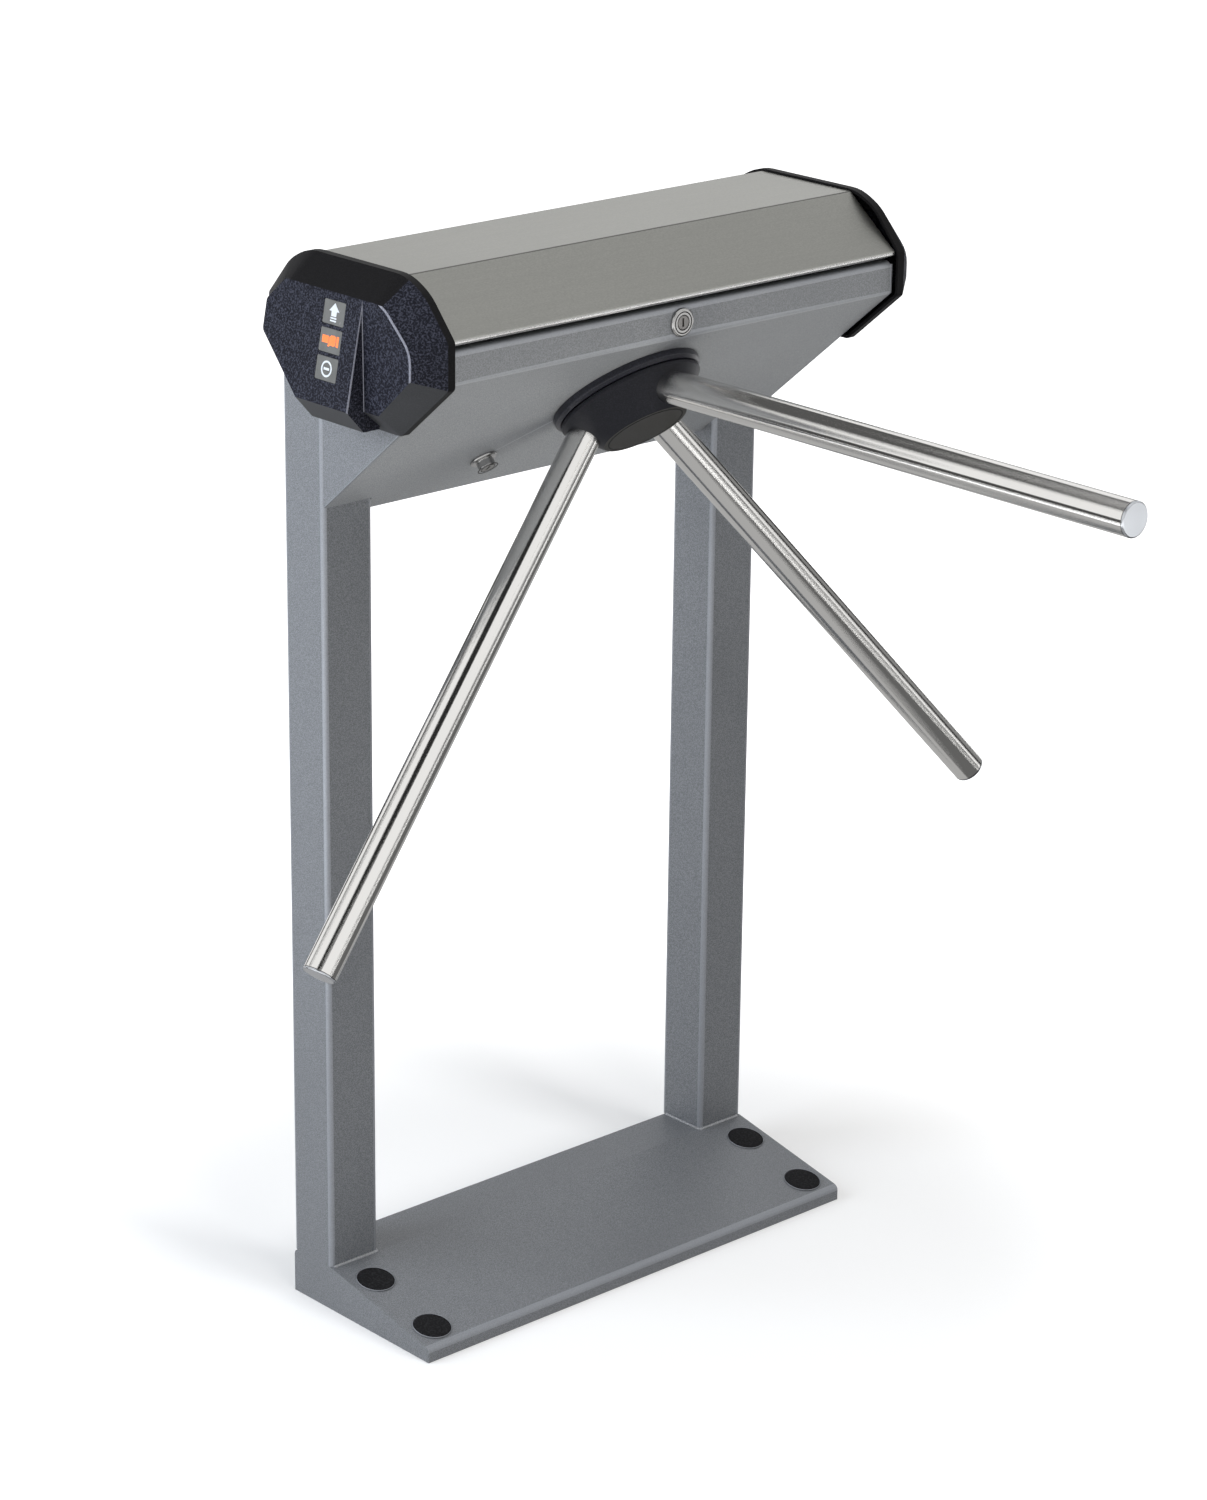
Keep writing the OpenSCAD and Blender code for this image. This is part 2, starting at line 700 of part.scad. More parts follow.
// Tripod head: a fixed flange, a turning cone with three sockets, and its cap
turn_gap = 0.5;
flange_round = flange_t / 3;
flange_lip = 2;
collar_wall = 4;
flange_bore_r = hub_hole_r - flange_lip;
collar_r = shaft_d / 2 + collar_wall;
cone_top = flange_t + turn_gap;
arm_splay = 90 - slope;
socket_start = (arms_meet + cone_top + arm_d / 2 * sin(arm_splay)) / cos(arm_splay) + turn_gap;
spigot_r = arm_d / 4;
spigot_l = 7;
cap_seat_rim = 4;
cap_seat_r = nose_d / 2 - cap_seat_rim;
cap_disc_t = 2.5;
recess_r = 20;
recess_h = 14;

module hub_flange() {
    r = flange_d / 2;
    color([0.06, 0.06, 0.07]) at_hub() turned([
        [flange_bore_r, 0], [r, 0], [r, -flange_t + flange_round],
        [r - flange_round, -flange_t], [flange_bore_r, -flange_t]
    ]);
}

// Lays its children along one arm's axis, from the point where the axes meet
module along_arm(turn) {
    translate([0, 0, arms_meet]) rotate([0, 0, turn - 90]) rotate([0, 180 - arm_splay, 0]) children();
}

arm_turns = [0, -120, 120];

module hub_cone() {
    r = hub_d / 2;
    nose_r = nose_d / 2;
    rim_h = 4;
    rim_round = 1;
    nose_round = 3;
    color([0.07, 0.07, 0.08]) at_hub() difference() {
        turned([
            [shaft_d / 2, -cone_top], [r - rim_round, -cone_top], [r, -cone_top - rim_round],
            [r, -cone_top - rim_h],
            [nose_r + nose_round, -hub_depth + nose_round], [nose_r, -hub_depth],
            [cap_seat_r, -hub_depth], [cap_seat_r, -hub_depth + cap_disc_t],
            [recess_r, -hub_depth + cap_disc_t], [recess_r, -hub_depth + recess_h],
            [shaft_d / 2, -hub_depth + recess_h]
        ]);
        for (turn = arm_turns) along_arm(turn) {
            translate([0, 0, socket_start]) cylinder(d = arm_d, h = hub_d);
            translate([0, 0, socket_start - spigot_l]) cylinder(r = spigot_r, h = 2 * spigot_l);
        }
    }
}

module hub_cap() {
    cap_round = cap_disc_t / 3;
    seat_r = cap_seat_r - fit_gap;
    color([0.16, 0.15, 0.14]) at_hub() turned([
        [0, -hub_depth + cap_disc_t], [seat_r, -hub_depth + cap_disc_t],
        [seat_r, -hub_depth - fit_gap + cap_round],
        [seat_r - cap_round, -hub_depth - fit_gap], [0, -hub_depth - fit_gap]
    ]);
}

washer_t = 3;
washer_r = 16;
bolt_head_r = 11;
bolt_head_h = 6;

module hub_bolt() {
    color([0.6, 0.6, 0.62]) at_hub() translate([0, 0, -hub_depth + recess_h]) mirror([0, 0, 1]) {
        cylinder(r = washer_r, h = washer_t);
        translate([0, 0, washer_t]) cylinder(r = bolt_head_r, h = bolt_head_h, $fn = 6);
    }
}

arm_plug_seat = 12;
arm_plug_rim = 2.5;
arm_plug_round_share = 0.6;

// A tube whose hub end is closed and carries a spigot
module arm(turn) {
    r = arm_d / 2;
    closed_l = 2 * r;
    color([0.72, 0.71, 0.7]) at_hub() along_arm(turn) turned([
        [0, socket_start - spigot_l], [spigot_r, socket_start - spigot_l], [spigot_r, socket_start],
        [r, socket_start], [r, arm_reach - arm_plug_rim], [r - arm_wall, arm_reach - arm_plug_rim],
        [r - arm_wall, socket_start + closed_l], [0, socket_start + closed_l]
    ], 64);
}

module blocking_arm() arm(arm_turns[0]);
module near_arm() arm(arm_turns[1]);
module far_arm() arm(arm_turns[2]);

module arm_end_plugs() {
    r = arm_d / 2;
    round_r = arm_plug_rim * arm_plug_round_share;
    color([0.7, 0.69, 0.68]) at_hub() for (turn = arm_turns) along_arm(turn) turned([
        [0, arm_reach - arm_plug_rim - arm_plug_seat],
        [r - arm_wall, arm_reach - arm_plug_rim - arm_plug_seat],
        [r - arm_wall, arm_reach - arm_plug_rim], [r, arm_reach - arm_plug_rim], [r, arm_reach - round_r],
        [r - round_r, arm_reach], [0, arm_reach]
    ], 64);
}

// Mechanism, stacked up the shaft from the inside of the underside
plate_t = 6;
plate_z = housing_sheet;
plate_top = plate_z + plate_t;
plate_half_w = 125;
plate_front = 80;
plate_back = 140;
plate_neck_y = 56;
plate_neck_half = 60;
plate_notch_half = 30;
plate_notch_y = 54;
bolt_edge = 12;
plate_bolt_r = 4;
bolt_head_share = 1.6;
bolt_height_share = 1.2;

function plate_outline() = [
    [-plate_half_w, -plate_front], [-plate_notch_half, -plate_front], [-plate_notch_half, -plate_notch_y],
    [plate_notch_half, -plate_notch_y], [plate_notch_half, -plate_front], [plate_half_w, -plate_front],
    [plate_half_w, plate_neck_y], [plate_neck_half, plate_neck_y], [plate_neck_half, plate_back],
    [-plate_neck_half, plate_back], [-plate_neck_half, plate_neck_y], [-plate_half_w, plate_neck_y]
];
function plate_bolt_places() = [
    for (side = [-1, 1]) each [
        [side * (plate_half_w - bolt_edge), -plate_front + bolt_edge],
        [side * (plate_half_w - bolt_edge), plate_neck_y - bolt_edge],
        [side * (plate_neck_half - bolt_edge), plate_back - bolt_edge]]
];

module mechanism_plate() {
    color([0.55, 0.55, 0.5]) at_hub() translate([0, 0, plate_z]) linear_extrude(plate_t) difference() {
        polygon(plate_outline());
        circle(r = bearing_d / 2, $fn = 96);
    }
}

module mechanism_bolts() {
    head_r = plate_bolt_r * bolt_head_share;
    head_h = plate_bolt_r * bolt_height_share;
    color([0.6, 0.6, 0.62]) at_hub() for (p = plate_bolt_places())
        translate([p[0], p[1], plate_top]) cylinder(r = head_r, h = head_h, $fn = 6);
}

gear_teeth = 45;
pinion_teeth = 15;
gear_spacing = gear_module * (gear_teeth + pinion_teeth) / 2;
damper_r = 20;
damper_foot = 4;
housing_l = 50;
housing_wall = 6;
flange_gap = 2;
housing_flange_r = gear_spacing - damper_r - damper_foot - flange_gap;
housing_flange_t = 8;
bearing_lip = 3;

// A flanged barrel with a seat for a bearing at each end
module bearing_housing() {
    seat_r = bearing_d / 2;
    r = seat_r + housing_wall;
    top = plate_top + housing_l;
    bolt_circle = (housing_flange_r + r) / 2;
    color([0.5, 0.5, 0.52]) at_hub() difference() {
        turned([
            [seat_r, plate_top], [housing_flange_r, plate_top],
            [housing_flange_r, plate_top + housing_flange_t],
            [r, plate_top + housing_flange_t], [r, top], [seat_r, top], [seat_r, top - bearing_w],
            [seat_r - bearing_lip, top - bearing_w], [seat_r - bearing_lip, plate_top + bearing_w],
            [seat_r, plate_top + bearing_w]
        ]);
        for (k = [0:3]) rotate([0, 0, 45 + 90 * k]) translate([bolt_circle, 0, plate_top - overrun])
            cylinder(r = plate_bolt_r, h = housing_flange_t + 2 * overrun, $fn = 32);
    }
}

// A ball bearing: two rings with a sunk shield between them
module bearing(z) {
    inner = shaft_d / 2 + running_gap;
    outer = bearing_d / 2;
    ring = (outer - inner) / 4;
    sunk = bearing_w / 10;
    color([0.7, 0.7, 0.72]) at_hub() translate([0, 0, z]) turned([
        [inner, 0], [inner + ring, 0], [inner + ring, sunk], [outer - ring, sunk], [outer - ring, 0],
        [outer, 0],
        [outer, bearing_w], [outer - ring, bearing_w], [outer - ring, bearing_w - sunk],
        [inner + ring, bearing_w - sunk], [inner + ring, bearing_w], [inner, bearing_w]
    ]);
}

module lower_bearing() bearing(plate_top);
module upper_bearing() bearing(plate_top + housing_l - bearing_w);

// The stack over the bearings: gear, lock disc, encoder disc and nut
gear_lift = 5;
gear_z = plate_top + housing_l + gear_lift;
spacer_h = gear_lift - fit_gap;
spacer_wall = 3;
spacer_r = shaft_d / 2 + spacer_wall;
gear_boss_h = 10;
lock_z = gear_z + gear_w + gear_boss_h;
lock_boss_h = 7;
encoder_z = lock_z + lock_disc_t + lock_boss_h;
encoder_t = 1.5;
nut_z = encoder_z + encoder_t;
nut_h = 10;
shaft_tail = 4;
boss_wall = 7;
shaft_top = nut_z + nut_h + shaft_tail;
boss_r = shaft_d / 2 + boss_wall;

module main_shaft() {
    r = shaft_d / 2;
    end_chamfer = r / 8;
    color([0.65, 0.65, 0.67]) at_hub() turned([
        [0, -hub_depth + recess_h], [r, -hub_depth + recess_h], [r, -cone_top], [collar_r, -cone_top],
        [collar_r, plate_top - fit_gap], [r, plate_top - fit_gap], [r, shaft_top - end_chamfer],
        [r - end_chamfer, shaft_top], [0, shaft_top]
    ]);
}

// Involute gears. Angles are in degrees, and a tooth is centred on the phase
pressure_angle = 25;
dedendum_share = 1.25;
backlash = 0.12;
flank_steps = 4;
function pitch_r(teeth) = gear_module * teeth / 2;
function involute_angle(a) = tan(a) * 180 / PI - a;
function half_tooth(teeth, r) =
    let (base_r = pitch_r(teeth) * cos(pressure_angle))
    let (slack = backlash / 2 / pitch_r(teeth) * 180 / PI)
    90 / teeth - slack + involute_angle(pressure_angle)
        - (r > base_r ? involute_angle(acos(base_r / r)) : 0);
function polar(r, a) = [r * cos(a), r * sin(a)];
function flank_radius(teeth, k) =
    let (root = pitch_r(teeth) - dedendum_share * gear_module, tip = pitch_r(teeth) + gear_module)
    let (start = max(root, pitch_r(teeth) * cos(pressure_angle)))
    k == 0 ? root : start + (tip - start) * (k - 1) / (flank_steps - 1);
function gear_outline(teeth, phase) = [
    for (i = [0:teeth - 1]) let (mid = phase + i * 360 / teeth) each concat(
        [for (k = [0:flank_steps]) let (r = flank_radius(teeth, k)) polar(r, mid - half_tooth(teeth, r))],
        [for (k = [flank_steps:-1:0]) let (r = flank_radius(teeth, k)) polar(r, mid + half_tooth(teeth, r))])
];

tooth_turn = 360 / gear_teeth;
crank_dir = 90;
damper_dir = 90 + 17 * tooth_turn;
pinion_gap_turn = 180 + 180 / pinion_teeth;

module index_gear() {
    spokes = 5;
    web_r = (boss_r + pitch_r(gear_teeth)) / 2;
    hole_r = (pitch_r(gear_teeth) - boss_r) / 4;
    color([0.62, 0.6, 0.52]) at_hub() translate([0, 0, gear_z]) difference() {
        union() {
            linear_extrude(gear_w) polygon(gear_outline(gear_teeth, crank_dir));
            translate([0, 0, -spacer_h]) cylinder(r = spacer_r, h = spacer_h + overrun);
            cylinder(r = boss_r, h = gear_w + gear_boss_h);
        }
        translate([0, 0, -spacer_h - overrun])
            cylinder(d = shaft_d, h = spacer_h + gear_w + gear_boss_h + 2 * overrun);
        for (k = [0:spokes - 1]) rotate([0, 0, k * 360 / spokes]) translate([web_r, 0, -overrun])
            cylinder(r = hole_r, h = gear_w + 2 * overrun);
    }
}

axle_r = 6;
axle_shoulder_share = 1.4;
axle_head_r = 8.5;
axle_head_h = 2;
crank_pin_r = 3;
crank_pin_h = 9;

// Draws a pinion round the origin of a place beside the index gear
module at_pinion(direction) {
    at_hub() rotate([0, 0, direction]) translate([gear_spacing, 0, 0]) rotate([0, 0, -direction]) children();
}

module pinion(direction, bore_r) {
    translate([0, 0, gear_z]) linear_extrude(gear_w) difference() {
        polygon(gear_outline(pinion_teeth, direction + pinion_gap_turn));
        circle(r = bore_r, $fn = 48);
    }
}

module crank_gear() {
    color([0.62, 0.6, 0.52]) at_pinion(crank_dir) {
        pinion(crank_dir, axle_r + running_gap);
        translate([-crank_throw, 0, gear_z + gear_w - overrun])
            cylinder(r = crank_pin_r, h = crank_pin_h + overrun);
    }
}

module crank_axle() {
    head_z = gear_z + gear_w + fit_gap;
    shoulder_r = axle_r * axle_shoulder_share;
    color([0.6, 0.6, 0.62]) at_pinion(crank_dir) turned([
        [0, plate_top], [shoulder_r, plate_top], [shoulder_r, gear_z - fit_gap], [axle_r, gear_z - fit_gap],
        [axle_r, head_z], [axle_head_r, head_z], [axle_head_r, head_z + axle_head_h],
        [0, head_z + axle_head_h]
    ], 48);
}

// The centring spring pulls the crank pin towards its anchor, beside the crank
anchor_r = 4;
anchor_head = 1.5;
anchor_edge = 2;
spring_lift = 6;
spring_z = gear_z + gear_w + spring_lift;
spring_r = 5;
spring_wire_r = 0.8;
spring_pitch = 2.8;
spring_rings = 10;
anchor_x = plate_neck_half - 2 * anchor_r - anchor_edge;
spring_from = crank_throw + crank_pin_r + spring_wire_r + fit_gap;
spring_to = anchor_x - anchor_r - spring_wire_r - fit_gap;
spring_turns = floor((spring_to - spring_from) / spring_pitch);
echo(spring_gap_mm = (spring_to - spring_from) / spring_turns - 2 * spring_wire_r);

module spring_anchor() {
    top = spring_z + spring_r + 2 * spring_wire_r;
    color([0.6, 0.6, 0.62]) at_hub() translate([-anchor_x, gear_spacing, 0]) turned([
        [0, plate_top], [2 * anchor_r, plate_top], [2 * anchor_r, plate_top + anchor_r],
        [anchor_r, plate_top + anchor_r], [anchor_r, top], [anchor_r + anchor_head, top],
        [anchor_r + anchor_head, top + anchor_head], [0, top + anchor_head]
    ], 48);
}

// Points of the coil from end to end, and a tube of triangles swept along it
function coil_point(u) =
    let (a = 360 * spring_turns * u)
    [-spring_from - (spring_to - spring_from) * u, spring_r * sin(a), spring_r * cos(a)];
function coil_ring(u, side) =
    let (a = 360 * spring_turns * u, w = 360 * side / 6)
    coil_point(u) + spring_wire_r * (cos(w) * [0, sin(a), cos(a)] - sin(w) * [1, 0, 0]);

module centring_spring() {
    rings = spring_turns * spring_rings;
    points = [for (i = [0:rings], s = [0:5]) coil_ring(i / rings, s)];
    walls = [for (i = [0:rings - 1], s = [0:5])
        let (a = i * 6 + s, b = i * 6 + (s + 1) % 6) each [[a, b, b + 6], [a, b + 6, a + 6]]];
    ends = [for (s = [1:4]) each [[0, s + 1, s], [rings * 6, rings * 6 + s, rings * 6 + s + 1]]];
    color([0.65, 0.65, 0.66]) at_hub() translate([0, gear_spacing, spring_z])
        polyhedron(points = points, faces = concat(walls, ends));
}

// A rotary damper whose pinion runs on the index gear
damper_spindle_r = 5;

module damper_body() {
    top = gear_z - gear_lift;
    neck_r = damper_r / 2;
    color([0.2, 0.2, 0.22]) at_pinion(damper_dir) turned([
        [0, plate_top], [damper_r + damper_foot, plate_top],
        [damper_r + damper_foot, plate_top + damper_foot],
        [damper_r, plate_top + damper_foot], [damper_r, top - damper_foot], [neck_r, top], [0, top]
    ], 64);
}

module damper_pinion() {
    spindle_top = gear_z + gear_w + damper_foot;
    color([0.75, 0.72, 0.6]) at_pinion(damper_dir) {
        pinion(damper_dir, damper_spindle_r);
        translate([0, 0, gear_z - gear_lift + fit_gap])
            cylinder(r = damper_spindle_r, h = spindle_top - gear_z + gear_lift);
    }
}

// The lock disc has a notch every thirty degrees for the lock bolts
notch_count = 12;
notch_play = 1;
notch_w = lock_bolt_d + notch_play;
tip_gap = 2;
notch_deep = bolt_travel - tip_gap + notch_play;

module lock_disc() {
    r = lock_disc_d / 2;
    color([0.58, 0.58, 0.6]) at_hub() translate([0, 0, lock_z]) difference() {
        union() {
            cylinder(r = r, h = lock_disc_t, $fn = 96);
            cylinder(r = boss_r, h = lock_disc_t + lock_boss_h);
        }
        translate([0, 0, -overrun]) cylinder(d = shaft_d, h = lock_disc_t + lock_boss_h + 2 * overrun);
        for (k = [0:notch_count - 1]) rotate([0, 0, k * 360 / notch_count])
            translate([r - notch_deep, -notch_w / 2, -overrun])
                cube([notch_deep + overrun, notch_w, lock_disc_t + 2 * overrun]);
    }
}

// A solenoid each side of the disc, on its pedestal, with a sliding bolt
solenoid_w = 36;
solenoid_h = 32;
solenoid_l = 50;
bolt_tail = 8;
bolt_head = 4;
bolt_show = 14;
solenoid_x = lock_disc_d / 2 + tip_gap + bolt_show;
bolt_z = lock_z + lock_disc_t / 2;

module far_solenoid() {
    color([0.25, 0.2, 0.15]) at_hub() translate([solenoid_x, 0, bolt_z]) difference() {
        translate([0, -solenoid_w / 2, -solenoid_h / 2]) cube([solenoid_l, solenoid_w, solenoid_h]);
        translate([-overrun, 0, 0]) rotate([0, 90, 0])
            cylinder(d = lock_bolt_d + 2 * running_gap, h = solenoid_l + 2 * overrun);
    }
}

module far_lock_bolt() {
    tip_x = lock_disc_d / 2 + tip_gap;
    shaft_l = solenoid_x - tip_x + solenoid_l + bolt_tail + bolt_travel;
    color([0.7, 0.7, 0.72]) at_hub() translate([tip_x, 0, bolt_z]) rotate([0, 90, 0]) {
        cylinder(d = lock_bolt_d, h = shaft_l, $fn = 48);
        translate([0, 0, shaft_l - bolt_head]) cylinder(r = lock_bolt_d, h = bolt_head, $fn = 48);
    }
}

module near_solenoid() at_far_end() far_solenoid();
module near_lock_bolt() at_far_end() far_lock_bolt();

pedestal_t = 5;

// A bent bridge under each solenoid: two legs, two feet and a top
module solenoid_pedestals() {
    sheet = pedestal_t / 2;
    top = bolt_z - solenoid_h / 2 - sheet;
    inner_x = solenoid_x + pedestal_t;
    outer_x = solenoid_x + solenoid_l - pedestal_t;
    foot = 3 * pedestal_t / 2;
    color([0.55, 0.55, 0.5]) at_hub() for (side = [0, 1]) mirror([side, 0, 0])
        rotate([90, 0, 0]) linear_extrude(solenoid_w, center = true)
            polygon(sheet_outline([
                [outer_x + foot, plate_top], [outer_x, plate_top], [outer_x, top],
                [inner_x, top], [inner_x, plate_top], [inner_x - foot / 2, plate_top]
            ], -sheet));
}

// A slotted disc that a light gate reads
encoder_r = 35;
encoder_slots = 24;
slot_l = 5;

module encoder_disc() {
    color([0.15, 0.15, 0.16]) at_hub() translate([0, 0, encoder_z]) linear_extrude(encoder_t) difference() {
        circle(r = encoder_r, $fn = 96);
        circle(d = shaft_d, $fn = 64);
        for (k = [0:encoder_slots - 1]) rotate(k * 360 / encoder_slots)
            translate([encoder_r - 2 * slot_l + slot_l / 2, 0]) square([slot_l, slot_l / 2], center = true);
    }
}

sensor_dir = 45;
sensor_x = 64;
sensor_w = 24;
bracket_t = 2;
fork_l = 14;
fork_h = 9;
fork_slot = 4;
fork_play = 2;

module at_sensor() {
    at_hub() rotate([0, 0, sensor_dir]) translate([0, sensor_w / 2, 0]) rotate([90, 0, 0]) children();
}

module sensor_bracket() {
    arm_z = encoder_z + encoder_t / 2 + fork_h / 2;
    color([0.6, 0.6, 0.6]) at_sensor() linear_extrude(sensor_w)
        polygon(sheet_outline([
            [encoder_r, arm_z], [sensor_x, arm_z], [sensor_x, plate_top], [sensor_x + fork_l, plate_top]
        ], bracket_t));
}

module sensor_fork() {
    mid_z = encoder_z + encoder_t / 2;
    color([0.1, 0.1, 0.1]) at_sensor() translate([0, 0, sensor_w / 4]) linear_extrude(sensor_w / 2) difference() {
        translate([encoder_r - slot_l, mid_z - fork_h / 2]) square([fork_l, fork_h]);
        translate([encoder_r - slot_l - overrun, mid_z - fork_slot / 2])
            square([slot_l + fork_play + overrun, fork_slot]);
    }
}

nut_wall = 8;
nut_r = shaft_d / 2 + nut_wall;

module shaft_nut() {
    color([0.6, 0.6, 0.62]) at_hub() translate([0, 0, nut_z]) linear_extrude(nut_h) difference() {
        circle(r = nut_r, $fn = 6);
        circle(d = shaft_d, $fn = 64);
    }
}

// Control board on the back wall, clear of the mechanism
ctrl_w = 120;
ctrl_h = 84;
ctrl_side_gap = 27;
ctrl_x = post_inner_x - ctrl_side_gap - ctrl_w;
ctrl_rise = 60;
ctrl_z = floor_z + ctrl_rise;
standoff_l = 10;
standoff_r = 3;
ctrl_edge = 6;

module at_control_board() {
    translate([ctrl_x, rear_y - housing_sheet, ctrl_z]) rotate([90, 0, 0]) children();
}

module board_standoffs() {
    color([0.75, 0.7, 0.5]) at_control_board()
        for (x = [ctrl_edge, ctrl_w - ctrl_edge], z = [ctrl_edge, ctrl_h - ctrl_edge])
            translate([x, z, 0]) cylinder(r = standoff_r, h = standoff_l, $fn = 24);
}

// The board with its terminal blocks, transformer and smoothing capacitors
module control_board() {
    block_w = 14;
    block_d = 10;
    block_h = 9;
    block_gap = 3;
    core_w = 34;
    core_h = 22;
    can_r = 6;
    can_h = 16;
    face = standoff_l + board_t;
    color([0.1, 0.32, 0.18]) at_control_board() {
        translate([0, 0, standoff_l]) cube([ctrl_w, ctrl_h, board_t]);
        for (k = [0:3]) translate([2 * ctrl_edge + k * (block_w + block_gap), ctrl_edge, face])
            cube([block_w, block_d, block_h]);
        translate([2 * ctrl_edge, ctrl_h - 2 * ctrl_edge - core_w, face]) cube([core_w, core_w, core_h]);
        for (k = [0:2]) translate([core_w + 5 * ctrl_edge + k * 3 * can_r, ctrl_h / 2, face])
            cylinder(r = can_r, h = can_h, $fn = 32);
    }
}

base_cover();
floor_plate();
anchor_plugs();
near_post();
far_post();
near_side_plate();
far_side_plate();
housing_sheet_metal();
cover_shell();
cover_catch();
cover_hinge_lugs();
cover_hinge_brackets();
near_end_cap();
far_end_cap();
near_windows();
far_windows();
near_indicator_board();
far_indicator_board();
cover_lock_barrel();
cover_lock_plug();
cover_lock_cam();
release_lock_barrel();
release_lock_plug();
release_lock_cam();
hub_flange();
hub_cone();
hub_cap();
hub_bolt();
blocking_arm();
near_arm();
far_arm();
arm_end_plugs();
mechanism_plate();
mechanism_bolts();
bearing_housing();
lower_bearing();
upper_bearing();
main_shaft();
index_gear();
crank_gear();
crank_axle();
centring_spring();
spring_anchor();
damper_body();
damper_pinion();
lock_disc();
near_solenoid();
far_solenoid();
near_lock_bolt();
far_lock_bolt();
solenoid_pedestals();
encoder_disc();
sensor_bracket();
sensor_fork();
control_board();
board_standoffs();
shaft_nut();
cover_bumpers();
release_switch();
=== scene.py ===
"""Looks, studio and camera for a tripod turnstile: a painted housing on two posts,
a hinged stainless cover, black end caps and a black hub with three polished arms."""

import json
import logging
import math
import random
from dataclasses import dataclass, field
from enum import Enum
from typing import Sequence

import bmesh
import bpy
from bmesh.types import BMEdge, BMesh, BMVert
from mathutils import Matrix, Quaternion, Vector

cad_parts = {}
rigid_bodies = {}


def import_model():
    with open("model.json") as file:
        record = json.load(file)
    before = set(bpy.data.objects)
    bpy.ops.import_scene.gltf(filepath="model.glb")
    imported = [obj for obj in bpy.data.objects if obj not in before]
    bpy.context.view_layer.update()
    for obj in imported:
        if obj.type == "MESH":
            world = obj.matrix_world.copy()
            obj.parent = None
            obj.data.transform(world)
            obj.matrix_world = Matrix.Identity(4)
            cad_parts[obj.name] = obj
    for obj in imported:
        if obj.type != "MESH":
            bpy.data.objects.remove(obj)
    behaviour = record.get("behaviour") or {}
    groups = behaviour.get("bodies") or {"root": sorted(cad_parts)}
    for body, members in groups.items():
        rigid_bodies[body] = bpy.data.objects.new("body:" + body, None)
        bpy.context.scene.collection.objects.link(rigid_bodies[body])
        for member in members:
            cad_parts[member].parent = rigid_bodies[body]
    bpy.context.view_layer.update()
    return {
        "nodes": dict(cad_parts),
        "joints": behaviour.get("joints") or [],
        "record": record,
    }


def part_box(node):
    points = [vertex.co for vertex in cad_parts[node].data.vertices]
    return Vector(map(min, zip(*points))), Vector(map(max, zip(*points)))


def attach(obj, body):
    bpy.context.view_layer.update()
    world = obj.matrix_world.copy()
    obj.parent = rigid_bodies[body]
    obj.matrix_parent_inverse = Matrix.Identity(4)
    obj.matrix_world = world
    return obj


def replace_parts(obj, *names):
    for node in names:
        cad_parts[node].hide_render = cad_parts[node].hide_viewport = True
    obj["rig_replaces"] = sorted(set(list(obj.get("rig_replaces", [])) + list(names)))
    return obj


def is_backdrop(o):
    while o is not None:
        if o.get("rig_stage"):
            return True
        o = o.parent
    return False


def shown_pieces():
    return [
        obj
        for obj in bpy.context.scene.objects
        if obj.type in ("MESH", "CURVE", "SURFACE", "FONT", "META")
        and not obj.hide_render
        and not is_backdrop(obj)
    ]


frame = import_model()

log = logging.getLogger("turnstile")

MM = 0.001
WELD = 0.00001
FLAT_ANGLE = math.radians(0.4)
EDGE_STEPS = 3
FACE_WEIGHT = 80
SMALL_EDGE = 0.3
RECORD = frame["record"]
BODY_OF = {node: body for body, nodes in RECORD["behaviour"]["bodies"].items() for node in nodes}
SLOT_OF = {part["node"]: part["material_slot"] for part in RECORD["subparts"]}
JOINTS = {joint["name"]: joint for joint in frame["joints"]}

Point = tuple[float, float, float]
Colour = tuple[float, float, float]
Profile = Sequence[tuple[float, float]]
Value = "Wire | float | Sequence[float]"

WHITE: Colour = (1.0, 1.0, 1.0)


def rgba(colour: Colour) -> tuple[float, float, float, float]:
    """Gives a colour its full alpha."""
    return (*colour, 1.0)


class Wire:
    """A shader socket that takes part in Python arithmetic."""

    def __init__(self, tree: "Tree", socket: bpy.types.NodeSocket) -> None:
        """Holds the socket and the tree that it belongs to."""
        self.tree = tree
        self.socket = socket

    def math(self, operation: str, *values: Value) -> "Wire":
        """Gives a Math node's result for these values."""
        return self.tree.add("Math", dict(enumerate(values)), {"operation": operation})

    def __add__(self, other: Value) -> "Wire":
        """Adds a value."""
        return self.math("ADD", self, other)

    def __radd__(self, other: Value) -> "Wire":
        """Adds this to a value."""
        return self.math("ADD", other, self)

    def __sub__(self, other: Value) -> "Wire":
        """Takes a value away."""
        return self.math("SUBTRACT", self, other)

    def __rsub__(self, other: Value) -> "Wire":
        """Takes this away from a value."""
        return self.math("SUBTRACT", other, self)

    def __mul__(self, other: Value) -> "Wire":
        """Multiplies by a value."""
        return self.math("MULTIPLY", self, other)

    def vector(self, operation: str, *values: Value, out: int = 0) -> "Wire":
        """Gives a Vector Math node's vector, or its number where out is 1."""
        sockets = dict(enumerate((self, *values)))
        return self.tree.add("VectorMath", sockets, {"operation": operation}, out)

    def between(self, low: float, high: float) -> "Wire":
        """Rises smoothly from 0 at the low value to 1 at the high one."""
        settings = {"interpolation_type": "SMOOTHSTEP", "clamp": True}
        return self.tree.add("MapRange", {0: self, 1: low, 2: high}, settings)


